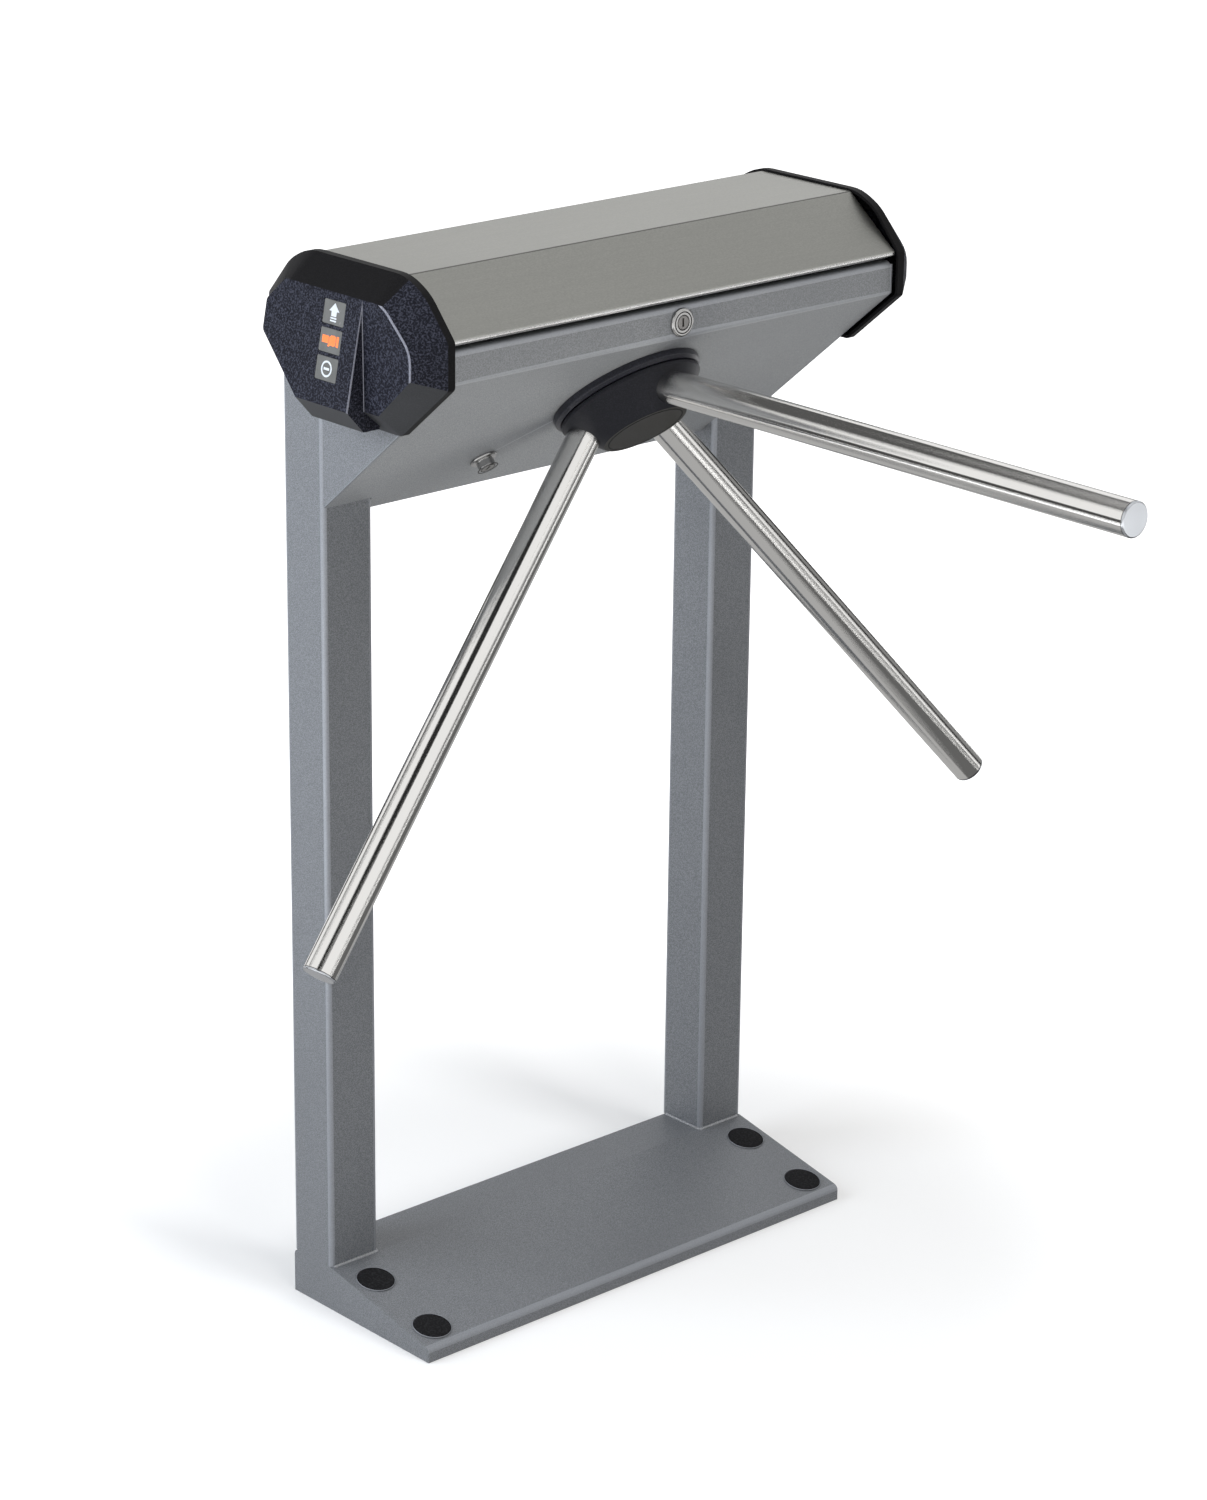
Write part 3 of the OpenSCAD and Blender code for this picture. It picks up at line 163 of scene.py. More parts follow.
class Tree:
    """The node tree of a material or of the world."""

    def __init__(self, owner: bpy.types.Material | bpy.types.World) -> None:
        """Empties the owner's node tree.

        Args:
            owner: The material or the world.
        """
        owner.use_nodes = True
        self.owner = owner
        self.nodes = owner.node_tree.nodes
        self.links = owner.node_tree.links
        self.nodes.clear()

    def add(
        self,
        kind: str,
        sockets: dict | None = None,
        settings: dict | None = None,
        out: int | str = 0,
    ) -> Wire:
        """Adds a shader node.

        Args:
            kind: The end of its type's name.
            sockets: Values or wires for its inputs, by name or number.
            settings: Its properties, set before its inputs.
            out: The output that is returned.

        Returns:
            That output.
        """
        node = self.nodes.new(f"ShaderNode{kind}")
        for name, value in (settings or {}).items():
            setattr(node, name, value)
        for key, value in (sockets or {}).items():
            if isinstance(value, Wire):
                self.links.new(value.socket, node.inputs[key])
            else:
                node.inputs[key].default_value = value
        return Wire(self, node.outputs[out])

    def point(self) -> Wire:
        """The place on the object, in its own frame."""
        return self.add("TexCoord", out="Object")

    def stretched(self, scale: Point) -> Wire:
        """The place on the object, stretched along its axes."""
        return self.add("Mapping", {"Vector": self.point(), "Scale": scale})

    def noise(self, scale: float, detail: float = 2.0, place: Wire | None = None) -> Wire:
        """Noise from 0 to 1, with so many features a metre, read at the object's own place or another."""
        sockets = {"Vector": place or self.point(), "Scale": scale, "Detail": detail}
        return self.add("TexNoise", sockets)

    def mix(self, factor: Value, first: Wire | Colour, second: Wire | Colour) -> Wire:
        """Mixes two colours.

        Args:
            factor: 0 for the first, 1 for the second.
            first: A colour or a wire.
            second: A colour or a wire.

        Returns:
            The mixed colour.
        """
        ends = [c if isinstance(c, Wire) else rgba(c) for c in (first, second)]
        sockets = {0: factor, 6: ends[0], 7: ends[1]}
        return self.add("Mix", sockets, {"data_type": "RGBA"}, out=2)

    def bump(self, height: Wire, depth: float) -> Wire:
        """A normal that follows a height, whose full range is the depth in metres."""
        return self.add("Bump", {"Height": height, "Distance": depth})

    def surface(self, **sockets: Value) -> None:
        """Sets a Principled surface from its inputs, with underscores for spaces."""
        named = {name.replace("_", " "): value for name, value in sockets.items()}
        self.finish(self.add("BsdfPrincipled", named))

    def finish(self, shader: Wire, output: str = "OutputMaterial") -> None:
        """Links a shader to the tree's output node."""
        target = self.nodes.new(f"ShaderNode{output}")
        self.links.new(shader.socket, target.inputs["Surface"])


@dataclass(frozen=True)
class Finish:
    """A surface finish, built once and shared by the pieces that have it."""

    name: str
    colour: Colour = WHITE

    def tone(self, share: float) -> Colour:
        """The finish's colour times a share."""
        return (self.colour[0] * share, self.colour[1] * share, self.colour[2] * share)

    def material(self) -> bpy.types.Material:
        """Makes the finish's material on first use.

        Returns:
            The material.
        """
        found = bpy.data.materials.get(self.name)
        if found:
            return found
        tree = Tree(bpy.data.materials.new(self.name))
        self.shade(tree)
        return tree.owner

    def shade(self, tree: Tree) -> None:
        """Builds the finish's nodes in a tree."""
        raise NotImplementedError


@dataclass(frozen=True)
class PowderCoat(Finish):
    """Fine-grained metallic powder coat over sheet steel."""

    colour: Colour = (0.236, 0.246, 0.262)
    contrast: float = 0.27
    roughness: float = 0.46
    grain_scale: float = 1150.0
    cloud_scale: float = 6.0
    cloud_share: float = 0.35
    peel_scale: float = 260.0
    peel_depth: float = 0.00015

    def shade(self, tree: Tree) -> None:
        """Speckles the paint and gives it a slight orange peel.

        Args:
            tree: The empty tree of its material.
        """
        grain = tree.noise(self.grain_scale)
        cloud = tree.noise(self.cloud_scale, 4.0)
        dark = self.tone(1 - self.contrast)
        light = self.tone(1 + self.contrast)
        speckle = tree.mix(grain.between(0.36, 0.64), dark, light)
        clouded = cloud.between(0.4, 0.75) * self.cloud_share
        peel = tree.noise(self.peel_scale) * 0.6 + grain * 0.4
        tree.surface(
            Base_Color=tree.mix(clouded, speckle, self.tone(0.84)),
            Metallic=0.3,
            Roughness=self.roughness - 0.05 + grain * 0.12 + cloud * 0.04,
            Normal=tree.bump(peel, self.peel_depth),
        )


@dataclass(frozen=True)
class DrawnSteel(Finish):
    """Satin stainless sheet with a fine, nearly even grain."""

    colour: Colour = (0.40, 0.40, 0.375)
    roughness: float = 0.33
    grain_along: Point = (420.0, 1500.0, 1500.0)
    streak_along: Point = (5.0, 420.0, 420.0)
    cloud_scale: float = 3.0
    stain_share: float = 0.3
    depth: float = 0.00002

    def shade(self, tree: Tree) -> None:
        """Speckles the sheet with a grain a little longer along X.

        Args:
            tree: The empty tree of its material.
        """
        grain = tree.noise(1.0, place=tree.stretched(self.grain_along))
        streak = tree.noise(1.0, place=tree.stretched(self.streak_along))
        cloud = tree.noise(self.cloud_scale, 3.0)
        dull = self.tone(0.9)
        tone = tree.mix(grain.between(0.3, 0.7), dull, self.tone(1.08))
        drawn = tree.mix(streak.between(0.35, 0.65) * self.stain_share, tone, dull)
        tree.surface(
            Base_Color=tree.mix(cloud.between(0.45, 0.8) * self.stain_share, drawn, dull),
            Metallic=1.0,
            Roughness=self.roughness - 0.04 + grain * 0.08 + cloud * 0.06,
            Normal=tree.bump(grain * 0.7 + streak * 0.3, self.depth),
        )


@dataclass(frozen=True)
class PolishedTube(Finish):
    """Polished tube whose fine rings spread a reflection along it."""

    colour: Colour = (0.80, 0.79, 0.77)
    axis: Point = (0.0, 0.0, 1.0)
    roughness: float = 0.05
    ring_scale: float = 60000.0
    ring_tip: float = 0.2
    wave_scale: float = 900.0
    wave_tip: float = 0.005
    smudge_scale: float = 9.0
    smudge_share: float = 0.3

    def shade(self, tree: Tree) -> None:
        """Tips the surface to and fro along the tube, ring by ring.

        Args:
            tree: The empty tree of its material.
        """
        along = tree.point().vector("DOT_PRODUCT", self.axis, out=1)
        line = {"noise_dimensions": "1D"}
        rings = tree.add("TexWhiteNoise", {"W": along * self.ring_scale}, line)
        sockets = {"W": along * self.wave_scale, "Detail": 3.0}
        waves = tree.add("TexNoise", sockets, line)
        tip = (rings - 0.5) * self.ring_tip + (waves - 0.5) * self.wave_tip
        settings = {"vector_type": "VECTOR", "convert_from": "OBJECT", "convert_to": "WORLD"}
        axis = tree.add("VectorTransform", {"Vector": self.axis}, settings)
        sockets = {"Vector": axis, "Scale": tip}
        scaled = tree.add("VectorMath", sockets, {"operation": "SCALE"})
        face = tree.add("NewGeometry", out="Normal")
        smudge = tree.noise(self.smudge_scale, 4.0)
        smudged = smudge.between(0.45, 0.8) * self.smudge_share
        tree.surface(
            Base_Color=tree.mix(smudged, self.colour, self.tone(0.9)),
            Metallic=1.0,
            Roughness=self.roughness + smudge * 0.03 + waves * 0.02,
            Normal=face.vector("ADD", scaled).vector("NORMALIZE"),
        )


@dataclass(frozen=True)
class BareMetal(Finish):
    """Turned, ground, plated or cast metal, by its colour and its texture."""

    colour: Colour = (0.6, 0.6, 0.6)
    roughness: float = 0.25
    texture_scale: float = 700.0
    depth: float = 0.00002
    stain: Colour = (0.4, 0.4, 0.4)
    stain_share: float = 0.2
    cloud_scale: float = 30.0

    def shade(self, tree: Tree) -> None:
        """Clouds the metal and gives it fine tool marks.

        Args:
            tree: The empty tree of its material.
        """
        marks = tree.noise(self.texture_scale, 4.0)
        cloud = tree.noise(self.cloud_scale, 4.0)
        tone = tree.mix(marks.between(0.25, 0.75), self.tone(0.9), self.colour)
        tree.surface(
            Base_Color=tree.mix(cloud.between(0.5, 0.8) * self.stain_share, tone, self.stain),
            Metallic=1.0,
            Roughness=self.roughness - 0.04 + marks * 0.06 + cloud * 0.1,
            Normal=tree.bump(marks, self.depth),
        )


@dataclass(frozen=True)
class MouldedPlastic(Finish):
    """Dark plastic or paint with a spark-eroded grain, by its depth."""

    colour: Colour = (0.03, 0.03, 0.04)
    fleck: Colour = (0.06, 0.06, 0.085)
    roughness: float = 0.5
    grain_scale: float = 900.0
    depth: float = 0.00002
    gloss: float = 0.3
    wear_scale: float = 12.0
    wear_share: float = 0.25

    def shade(self, tree: Tree) -> None:
        """Flecks the surface and lifts its grain.

        Args:
            tree: The empty tree of its material.
        """
        grain = tree.noise(self.grain_scale, 3.0)
        wear = tree.noise(self.wear_scale, 4.0)
        tone = tree.mix(grain.between(0.42, 0.68), self.colour, self.fleck)
        tree.surface(
            Base_Color=tree.mix(wear.between(0.55, 0.8) * self.wear_share, tone, self.fleck),
            Roughness=self.roughness - 0.06 + grain * 0.14 + wear * 0.05,
            Specular_IOR_Level=self.gloss,
            Normal=tree.bump(grain, self.depth),
        )


@dataclass(frozen=True)
class SmokedPane(Finish):
    """Smoked window with a smooth face over a diffuser."""

    colour: Colour = (0.12, 0.122, 0.118)
    haze_scale: float = 60.0

    def shade(self, tree: Tree) -> None:
        """Shades the diffuser behind a glossy face.

        Args:
            tree: The empty tree of its material.
        """
        haze = tree.noise(self.haze_scale)
        dark, light = self.tone(0.88), self.tone(1.1)
        tone = tree.mix(haze.between(0.3, 0.7), dark, light)
        tree.surface(Base_Color=tone, Roughness=0.22 + haze * 0.08, Coat_Weight=0.4)


@dataclass(frozen=True)
class Lit(Finish):
    """A printed sign in a window that glows as with its lamp on behind; on the white signs, whose lamps are
    off, the glow is painted light.
    """

    colour: Colour = (0.8, 0.8, 0.8)
    glow: float = 0.4
    mottle_scale: float = 500.0

    def shade(self, tree: Tree) -> None:
        """Mottles the ink and makes it glow.

        Args:
            tree: The empty tree of its material.
        """
        mottle = tree.noise(self.mottle_scale)
        tone = tree.mix(mottle.between(0.3, 0.7), self.tone(0.9), self.colour)
        tree.surface(
            Base_Color=tone,
            Roughness=0.45 + mottle * 0.1,
            Emission_Color=tone,
            Emission_Strength=self.glow,
        )


@dataclass(frozen=True)
class BoardLaminate(Finish):
    """Solder-masked circuit board with copper tracks showing through."""

    colour: Colour = (0.02, 0.12, 0.06)
    track_colour: Colour = (0.08, 0.26, 0.13)
    track_scale: float = 160.0
    track_depth: float = 0.00004

    def shade(self, tree: Tree) -> None:
        """Lays lighter tracks under the mask.

        Args:
            tree: The empty tree of its material.
        """
        sockets = {
            "Vector": tree.point(),
            "Scale": self.track_scale,
            "Mortar Size": 0.06,
            "Color1": rgba(self.colour),
        }
        tracks = tree.add("TexBrick", sockets, {"offset": 0.35}, out="Fac")
        tree.surface(
            Base_Color=tree.mix(tracks, self.colour, self.track_colour),
            Roughness=0.35 + tracks * 0.08,
            Normal=tree.bump(tracks, self.track_depth),
        )


class Look(Enum):
    """The finishes of this object's pieces."""

    PAINT = PowderCoat("silver_powder_coat")
    # Lighter copy of the paint: a painted highlight on rounded edges, bends and the anchor rings.
    PAINT_EDGE = PowderCoat("silver_powder_coat_on_edges", (0.34, 0.355, 0.385), 0.1, 0.34)
    # Lighter copy of the paint: a painted highlight on the weld beads.
    PAINT_BEAD = PowderCoat("silver_powder_coat_on_beads", (0.42, 0.43, 0.45), roughness=0.36)
    COVER = DrawnSteel("satin_cover_steel")
    # Bright metal on the cover's lip: a painted highlight.
    COVER_EDGE = BareMetal("burnished_cover_edge", (0.86, 0.86, 0.85), 0.2, 900.0, 4e-6, (0.7, 0.7, 0.7))
    # Dark metal in the cover's top fold: a painted dark reflection.
    COVER_FOLD = BareMetal(
        "rubbed_cover_fold", (0.17, 0.168, 0.16), 0.4, 900.0, 4e-6, (0.12, 0.12, 0.11), 0.3
    )
    ARM_END = BareMetal("polished_arm_end", (0.58, 0.60, 0.63), 0.16, 700.0, 4e-6, (0.7, 0.7, 0.72), 0.15)
    HUB = MouldedPlastic(
        "black_hub_paint", (0.014, 0.0145, 0.019), (0.022, 0.022, 0.029), 0.42, 900.0, 3e-5, 0.2
    )
    HUB_FLANGE = MouldedPlastic(
        "black_flange_paint", (0.014, 0.015, 0.022), (0.03, 0.031, 0.044), 0.3, gloss=0.35
    )
    HUB_FACE = MouldedPlastic(
        "hub_disc_paint", (0.040, 0.0385, 0.035), (0.053, 0.051, 0.046), 0.5, 900.0, 3e-5, 0.2
    )
    CAP = MouldedPlastic(
        "grained_cap_plastic",
        (0.006, 0.0065, 0.011), (0.054, 0.057, 0.079), 0.62, 600.0, 25e-5, 0.15,
    )
    CAP_SMOOTH = MouldedPlastic(
        "smooth_cap_plastic", (0.008, 0.0078, 0.0085), (0.014, 0.0135, 0.0145), 0.45, gloss=0.08
    )
    # Lighter smooth plastic on the cap's down-facing faces: painted light.
    CAP_UNDER = MouldedPlastic(
        "smooth_cap_underside", (0.044, 0.045, 0.048), (0.056, 0.057, 0.061), gloss=0.2
    )
    # Light plastic on the cap's ridges: a painted highlight.
    CAP_RIDGE = MouldedPlastic(
        "rubbed_cap_ridge", (0.20, 0.205, 0.25), (0.30, 0.31, 0.37), 0.3, 700.0, gloss=0.5
    )
    PANE = SmokedPane("smoked_window")
    PLUG = MouldedPlastic(
        "grained_plug_plastic", (0.010, 0.010, 0.011), (0.024, 0.024, 0.026), 0.7, 500.0, 1e-4, 0.12
    )
    CHROME = BareMetal("polished_lock_chrome", (0.44, 0.436, 0.43), 0.14, 300.0, 5e-6, (0.2, 0.2, 0.2), 0.3)
    LOCK_PLUG = BareMetal("lock_plug_steel", (0.34, 0.33, 0.32), 0.3, 500.0, 2e-5, (0.12, 0.11, 0.1), 0.5)
    GROOVE = BareMetal("dark_lock_groove", (0.05, 0.048, 0.046), 0.4, 500.0, 2e-5, (0.02, 0.02, 0.02), 0.4)
    ZINC = BareMetal("zinc_plate", (0.5, 0.52, 0.54), 0.36, 260.0, 3e-5, (0.34, 0.36, 0.4), 0.5)
    GEAR = BareMetal("oiled_gear_steel", (0.46, 0.42, 0.34), 0.28, 600.0, 2e-5, (0.2, 0.17, 0.12), 0.45)
    BEARING = BareMetal("ground_bearing_steel", (0.62, 0.62, 0.64), 0.16, 900.0, 1e-5, (0.45, 0.45, 0.47))
    PLATE = BareMetal("passivated_plate", (0.55, 0.5, 0.33), 0.38, 200.0, 3e-5, (0.4, 0.3, 0.2), 0.4)
    CAST = BareMetal("sand_cast_alloy", (0.42, 0.42, 0.43), 0.5, 350.0, 12e-5, (0.3, 0.3, 0.31), 0.4)
    DAMPER = MouldedPlastic(
        "moulded_damper_case", (0.03, 0.03, 0.033), (0.05, 0.05, 0.055), 0.45, 500.0, 5e-5
    )
    COIL = MouldedPlastic("moulded_coil_case", (0.09, 0.05, 0.02), (0.13, 0.075, 0.035), 0.4, 300.0, 4e-5)
    BOARD = BoardLaminate("circuit_board")
    BRASS = BareMetal("brass_standoff", (0.62, 0.46, 0.2), 0.24, 500.0, 1e-5, (0.35, 0.24, 0.1), 0.3)
    RUBBER = MouldedPlastic("rubber_buffer", (0.01, 0.01, 0.01), (0.02, 0.02, 0.02), 0.75, 400.0, 8e-5)
    SENSOR = MouldedPlastic(
        "satin_sensor_plastic", (0.015, 0.015, 0.017), (0.03, 0.03, 0.034), 0.38, 600.0, 3e-5
    )
    # The white signs' lamps are off; their glow is painted light.
    WHITE_SIGN = Lit("white_sign", (0.62, 0.66, 0.70), 0.25)
    ORANGE_SIGN = Lit("orange_sign", (0.85, 0.19, 0.045), 0.55)


@dataclass(frozen=True)
class TubeLook:
    """A finish that is made for one arm, with the same face as a Look."""

    value: Finish


Looks = Sequence[Look | TubeLook]

LOOK_OF_SLOT = {
    "frame_paint": Look.PAINT,
    "cover_steel": Look.COVER,
    "arm_steel": Look.ARM_END,
    "hub_black": Look.HUB,
    "hub_face": Look.HUB_FACE,
    "cap_plastic": Look.CAP,
    "window_pane": Look.PANE,
    "plug_plastic": Look.PLUG,
    "lock_chrome": Look.CHROME,
    "zinc_steel": Look.ZINC,
    "gear_steel": Look.GEAR,
    "bearing_steel": Look.BEARING,
    "plate_steel": Look.PLATE,
    "cast_alloy": Look.CAST,
    "damper_case": Look.DAMPER,
    "coil_case": Look.COIL,
    "board_green": Look.BOARD,
    "brass_part": Look.BRASS,
    "rubber_part": Look.RUBBER,
    "sensor_plastic": Look.SENSOR,
}


def new_mesh(bm: BMesh, name: str) -> bpy.types.Mesh:
    """Writes a mesh out under a name.

    Args:
        bm: The mesh; it is freed.
        name: The written mesh's name.

    Returns:
        The written mesh.
    """
    mesh = bpy.data.meshes.new(name)
    bm.to_mesh(mesh)
    bm.free()
    return mesh


def new_object(name: str, data: bpy.types.ID) -> bpy.types.Object:
    """Puts an object into the scene.

    Args:
        name: The object's name.
        data: Its mesh, lamp or camera.

    Returns:
        The object.
    """
    made = bpy.data.objects.new(name, data)
    bpy.context.scene.collection.objects.link(made)
    return made


def join(bm: BMesh, other: BMesh) -> None:
    """Moves one mesh into another.

    Args:
        bm: The mesh that grows.
        other: The mesh that is moved into it; it is freed.
    """
    draft = new_mesh(other, "draft")
    bm.from_mesh(draft)
    bpy.data.meshes.remove(draft)


def merged_copy(node: str) -> BMesh:
    """Copies a CAD node's mesh and joins its loose triangles into flat faces.

    Args:
        node: The node's name.

    Returns:
        The merged mesh.
    """
    bm = bmesh.new()
    bm.from_mesh(frame["nodes"][node].data)
    bmesh.ops.remove_doubles(bm, verts=bm.verts, dist=WELD)
    bmesh.ops.dissolve_limit(bm, angle_limit=FLAT_ANGLE, verts=bm.verts, edges=bm.edges, delimit={"NORMAL"})
    return bm


def with_bends(node: str, width: float = 2.6, length: float = 30.0, level: float = 0.97) -> BMesh:
    """Copies a node and gives the long narrow faces of its bends the second finish, which its callers use
    for a painted highlight.

    Args:
        node: The node's name.
        width: Greatest width of a bend's face in millimetres.
        length: Least length of a bend's face in millimetres.
        level: Height of the normal from which a face counts as flat.

    Returns:
        The marked mesh.
    """
    bm = merged_copy(node)
    for face in bm.faces:
        longest = max(edge.calc_length() for edge in face.edges)
        narrow = face.calc_area() / longest < width * MM
        if longest > length * MM and narrow and face.normal.z < level:
            face.material_index = 1
    return bm


def bevel(
    bm: BMesh,
    edges: Sequence[BMEdge],
    width: float,
    finish: int = -1,
    steps: int = EDGE_STEPS,
    clamp: bool = False,
) -> None:
    """Rounds edges of a mesh.

    Args:
        bm: The mesh.
        edges: The edges.
        width: Width of the rounding in millimetres.
        finish: Number of the finish on the rounding, or -1 for its neighbours'.
        steps: Facets across the rounding.
        clamp: Whether it stops where two roundings would meet.
    """
    bmesh.ops.bevel(
        bm,
        geom=edges,
        offset=width * MM,
        segments=steps,
        profile=0.5,
        affect="EDGES",
        material=finish,
        clamp_overlap=clamp,
    )


def turned(profile: Profile, place: Matrix, steps: int) -> BMesh:
    """Spins a closed profile round the Z axis of a place.

    Args:
        profile: Radius and height points in millimetres; those on the axis close the form.
        place: The frame of the spin, in metres.
        steps: Facets round the axis.

    Returns:
        The turned solid, in the CAD frame.
    """
    bm = bmesh.new()
    points = [bm.verts.new((r * MM, 0, z * MM)) for r, z in profile]
    on_axis = profile[0][0] == 0 and profile[-1][0] == 0
    closing = [] if on_axis else [(points[-1], points[0])]
    edges = [bm.edges.new(pair) for pair in [*zip(points, points[1:]), *closing]]
    geom = [*points, *edges]
    bmesh.ops.spin(
        bm, geom=geom, axis=(0, 0, 1), cent=(0, 0, 0), angle=math.tau, steps=steps, use_merge=True
    )
    bmesh.ops.remove_doubles(bm, verts=bm.verts, dist=0.1 * WELD)
    bmesh.ops.recalc_face_normals(bm, faces=bm.faces)
    bmesh.ops.transform(bm, matrix=place, verts=bm.verts)
    return bm


def frame_along(origin: Vector, axis: Vector, side: Vector) -> Matrix:
    """A frame whose Z runs along an axis.

    Args:
        origin: Its place, in metres.
        axis: The direction of Z.
        side: A direction that X leans to.

    Returns:
        The frame's matrix.
    """
    up = axis.normalized()
    out = (side - side.dot(up) * up).normalized()
    turn = Matrix((out, up.cross(out), up)).transposed()
    return Matrix.Translation(origin) @ turn.to_4x4()


@dataclass
class SubAssembly:
    """Pieces that are built and dressed together."""

    made: list[bpy.types.Object] = field(default_factory=list, init=False)

    def build(self) -> None:
        """Makes the sub-assembly's pieces."""
        raise NotImplementedError

    def piece(
        self,
        bm: BMesh,
        name: str,
        body: str,
        slot: str,
        looks: Looks,
        nodes: Sequence[str] = (),
        edge: float = 0.0,
        sharp: float = 30.0,
        edge_finish: int = -1,
    ) -> None:
        """Turns a mesh into a finished piece that rides on its body.

        Args:
            bm: The mesh, in the CAD frame; it is freed.
            name: The piece's name.
            body: The body that it rides on.
            slot: The record's material slot; not used.
            looks: Its finishes, by the faces' material numbers.
            nodes: The CAD nodes that it stands for.
            edge: Width in millimetres of its rounded edges, or 0.
            sharp: Angle in degrees past which an edge is rounded or stays crisp.
            edge_finish: Number of the finish on its rounded edges, or -1 for their neighbours'.
        """
        for face in bm.faces:
            face.smooth = True
        mesh = new_mesh(bm, name)
        mesh.set_sharp_from_angle(angle=math.radians(sharp))
        for look in looks:
            mesh.materials.append(look.value.material())
        piece = new_object(name, mesh)
        if edge > 0:
            rounding = piece.modifiers.new("rounded_edges", "BEVEL")
            rounding.width = edge * MM
            rounding.segments = EDGE_STEPS
            rounding.limit_method = "ANGLE"
            rounding.angle_limit = math.radians(sharp)
            rounding.use_clamp_overlap = True
            rounding.material = edge_finish
        weights = piece.modifiers.new("flat_faces", "WEIGHTED_NORMAL")
        weights.keep_sharp = True
        weights.weight = FACE_WEIGHT
        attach(piece, body)
        if nodes:
            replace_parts(piece, *nodes)
        self.made.append(piece)
        log.info("%s rides on %s and stands for %s", name, body, ", ".join(nodes) or "no node")

    def dress(
        self,
        node: str,
        edge: float = 0.0,
        sharp: float = 30.0,
        bm: BMesh | None = None,
        looks: Looks = (),
        edge_finish: int = -1,
    ) -> None:
        """Replaces a CAD node by a merged copy with rounded edges.

        Args:
            node: The node's name.
            edge: Width of its rounded edges in millimetres, or 0.
            sharp: Angle in degrees past which an edge counts as one.
            bm: The copy, if it has been marked or cut already.
            looks: Its finishes, if they aren't its slot's own.
            edge_finish: Number of the finish on its rounded edges, or -1.
        """
        slot = SLOT_OF[node]
        looks = looks or [LOOK_OF_SLOT[slot]]
        mesh = bm or merged_copy(node)
        name = f"{node}_dressed"
        self.piece(mesh, name, BODY_OF[node], slot, looks, [node], edge, sharp, edge_finish)


@dataclass
class Bead:
    """A weld bead between two points, lumpy along its length."""

    start: Point
    end: Point
    radius: float = 2.2
    pitch: float = 1.5
    end_share: float = 0.6
    ripple: float = 0.14
    lump: float = 0.1
    least_steps: int = 4
    facets: int = 10

    def add_to(self, bm: BMesh, dice: random.Random) -> None:
        """Extrudes a ring from start to end, swelling and shifting it at each ripple.

        Args:
            bm: The mesh that gets the bead.
            dice: Seeded dice for its lumps.
        """
        first, last = Vector(self.start) * MM, Vector(self.end) * MM
        way = last - first
        steps = max(self.least_steps, round(way.length / (self.pitch * MM)))
        place = frame_along(first, way, Vector((0, 0, 1)))
        r = self.radius * MM
        made = bmesh.ops.create_circle(
            bm, cap_ends=True, segments=self.facets, radius=r * self.end_share, matrix=place
        )
        ring = {edge for vert in made["verts"] for edge in vert.link_edges}
        for step in range(1, steps + 1):
            grown = bmesh.ops.extrude_edge_only(bm, edges=list(ring))["geom"]
            verts = [item for item in grown if isinstance(item, BMVert)]
            ring = {item for item in grown if isinstance(item, BMEdge) and item.is_boundary}
            bmesh.ops.translate(bm, vec=way / steps, verts=verts)
            centre = first + way * step / steps
            now = max((vert.co - centre).length for vert in verts)
            wave = 1 - self.ripple + self.ripple * math.cos(step * math.pi)
            share = wave + dice.uniform(-self.lump, self.lump)
            size = r * (self.end_share if step == steps else share) / now
            bmesh.ops.scale(bm, vec=(size,) * 3, space=Matrix.Translation(-centre), verts=verts)
        bmesh.ops.contextual_create(bm, geom=list(ring))


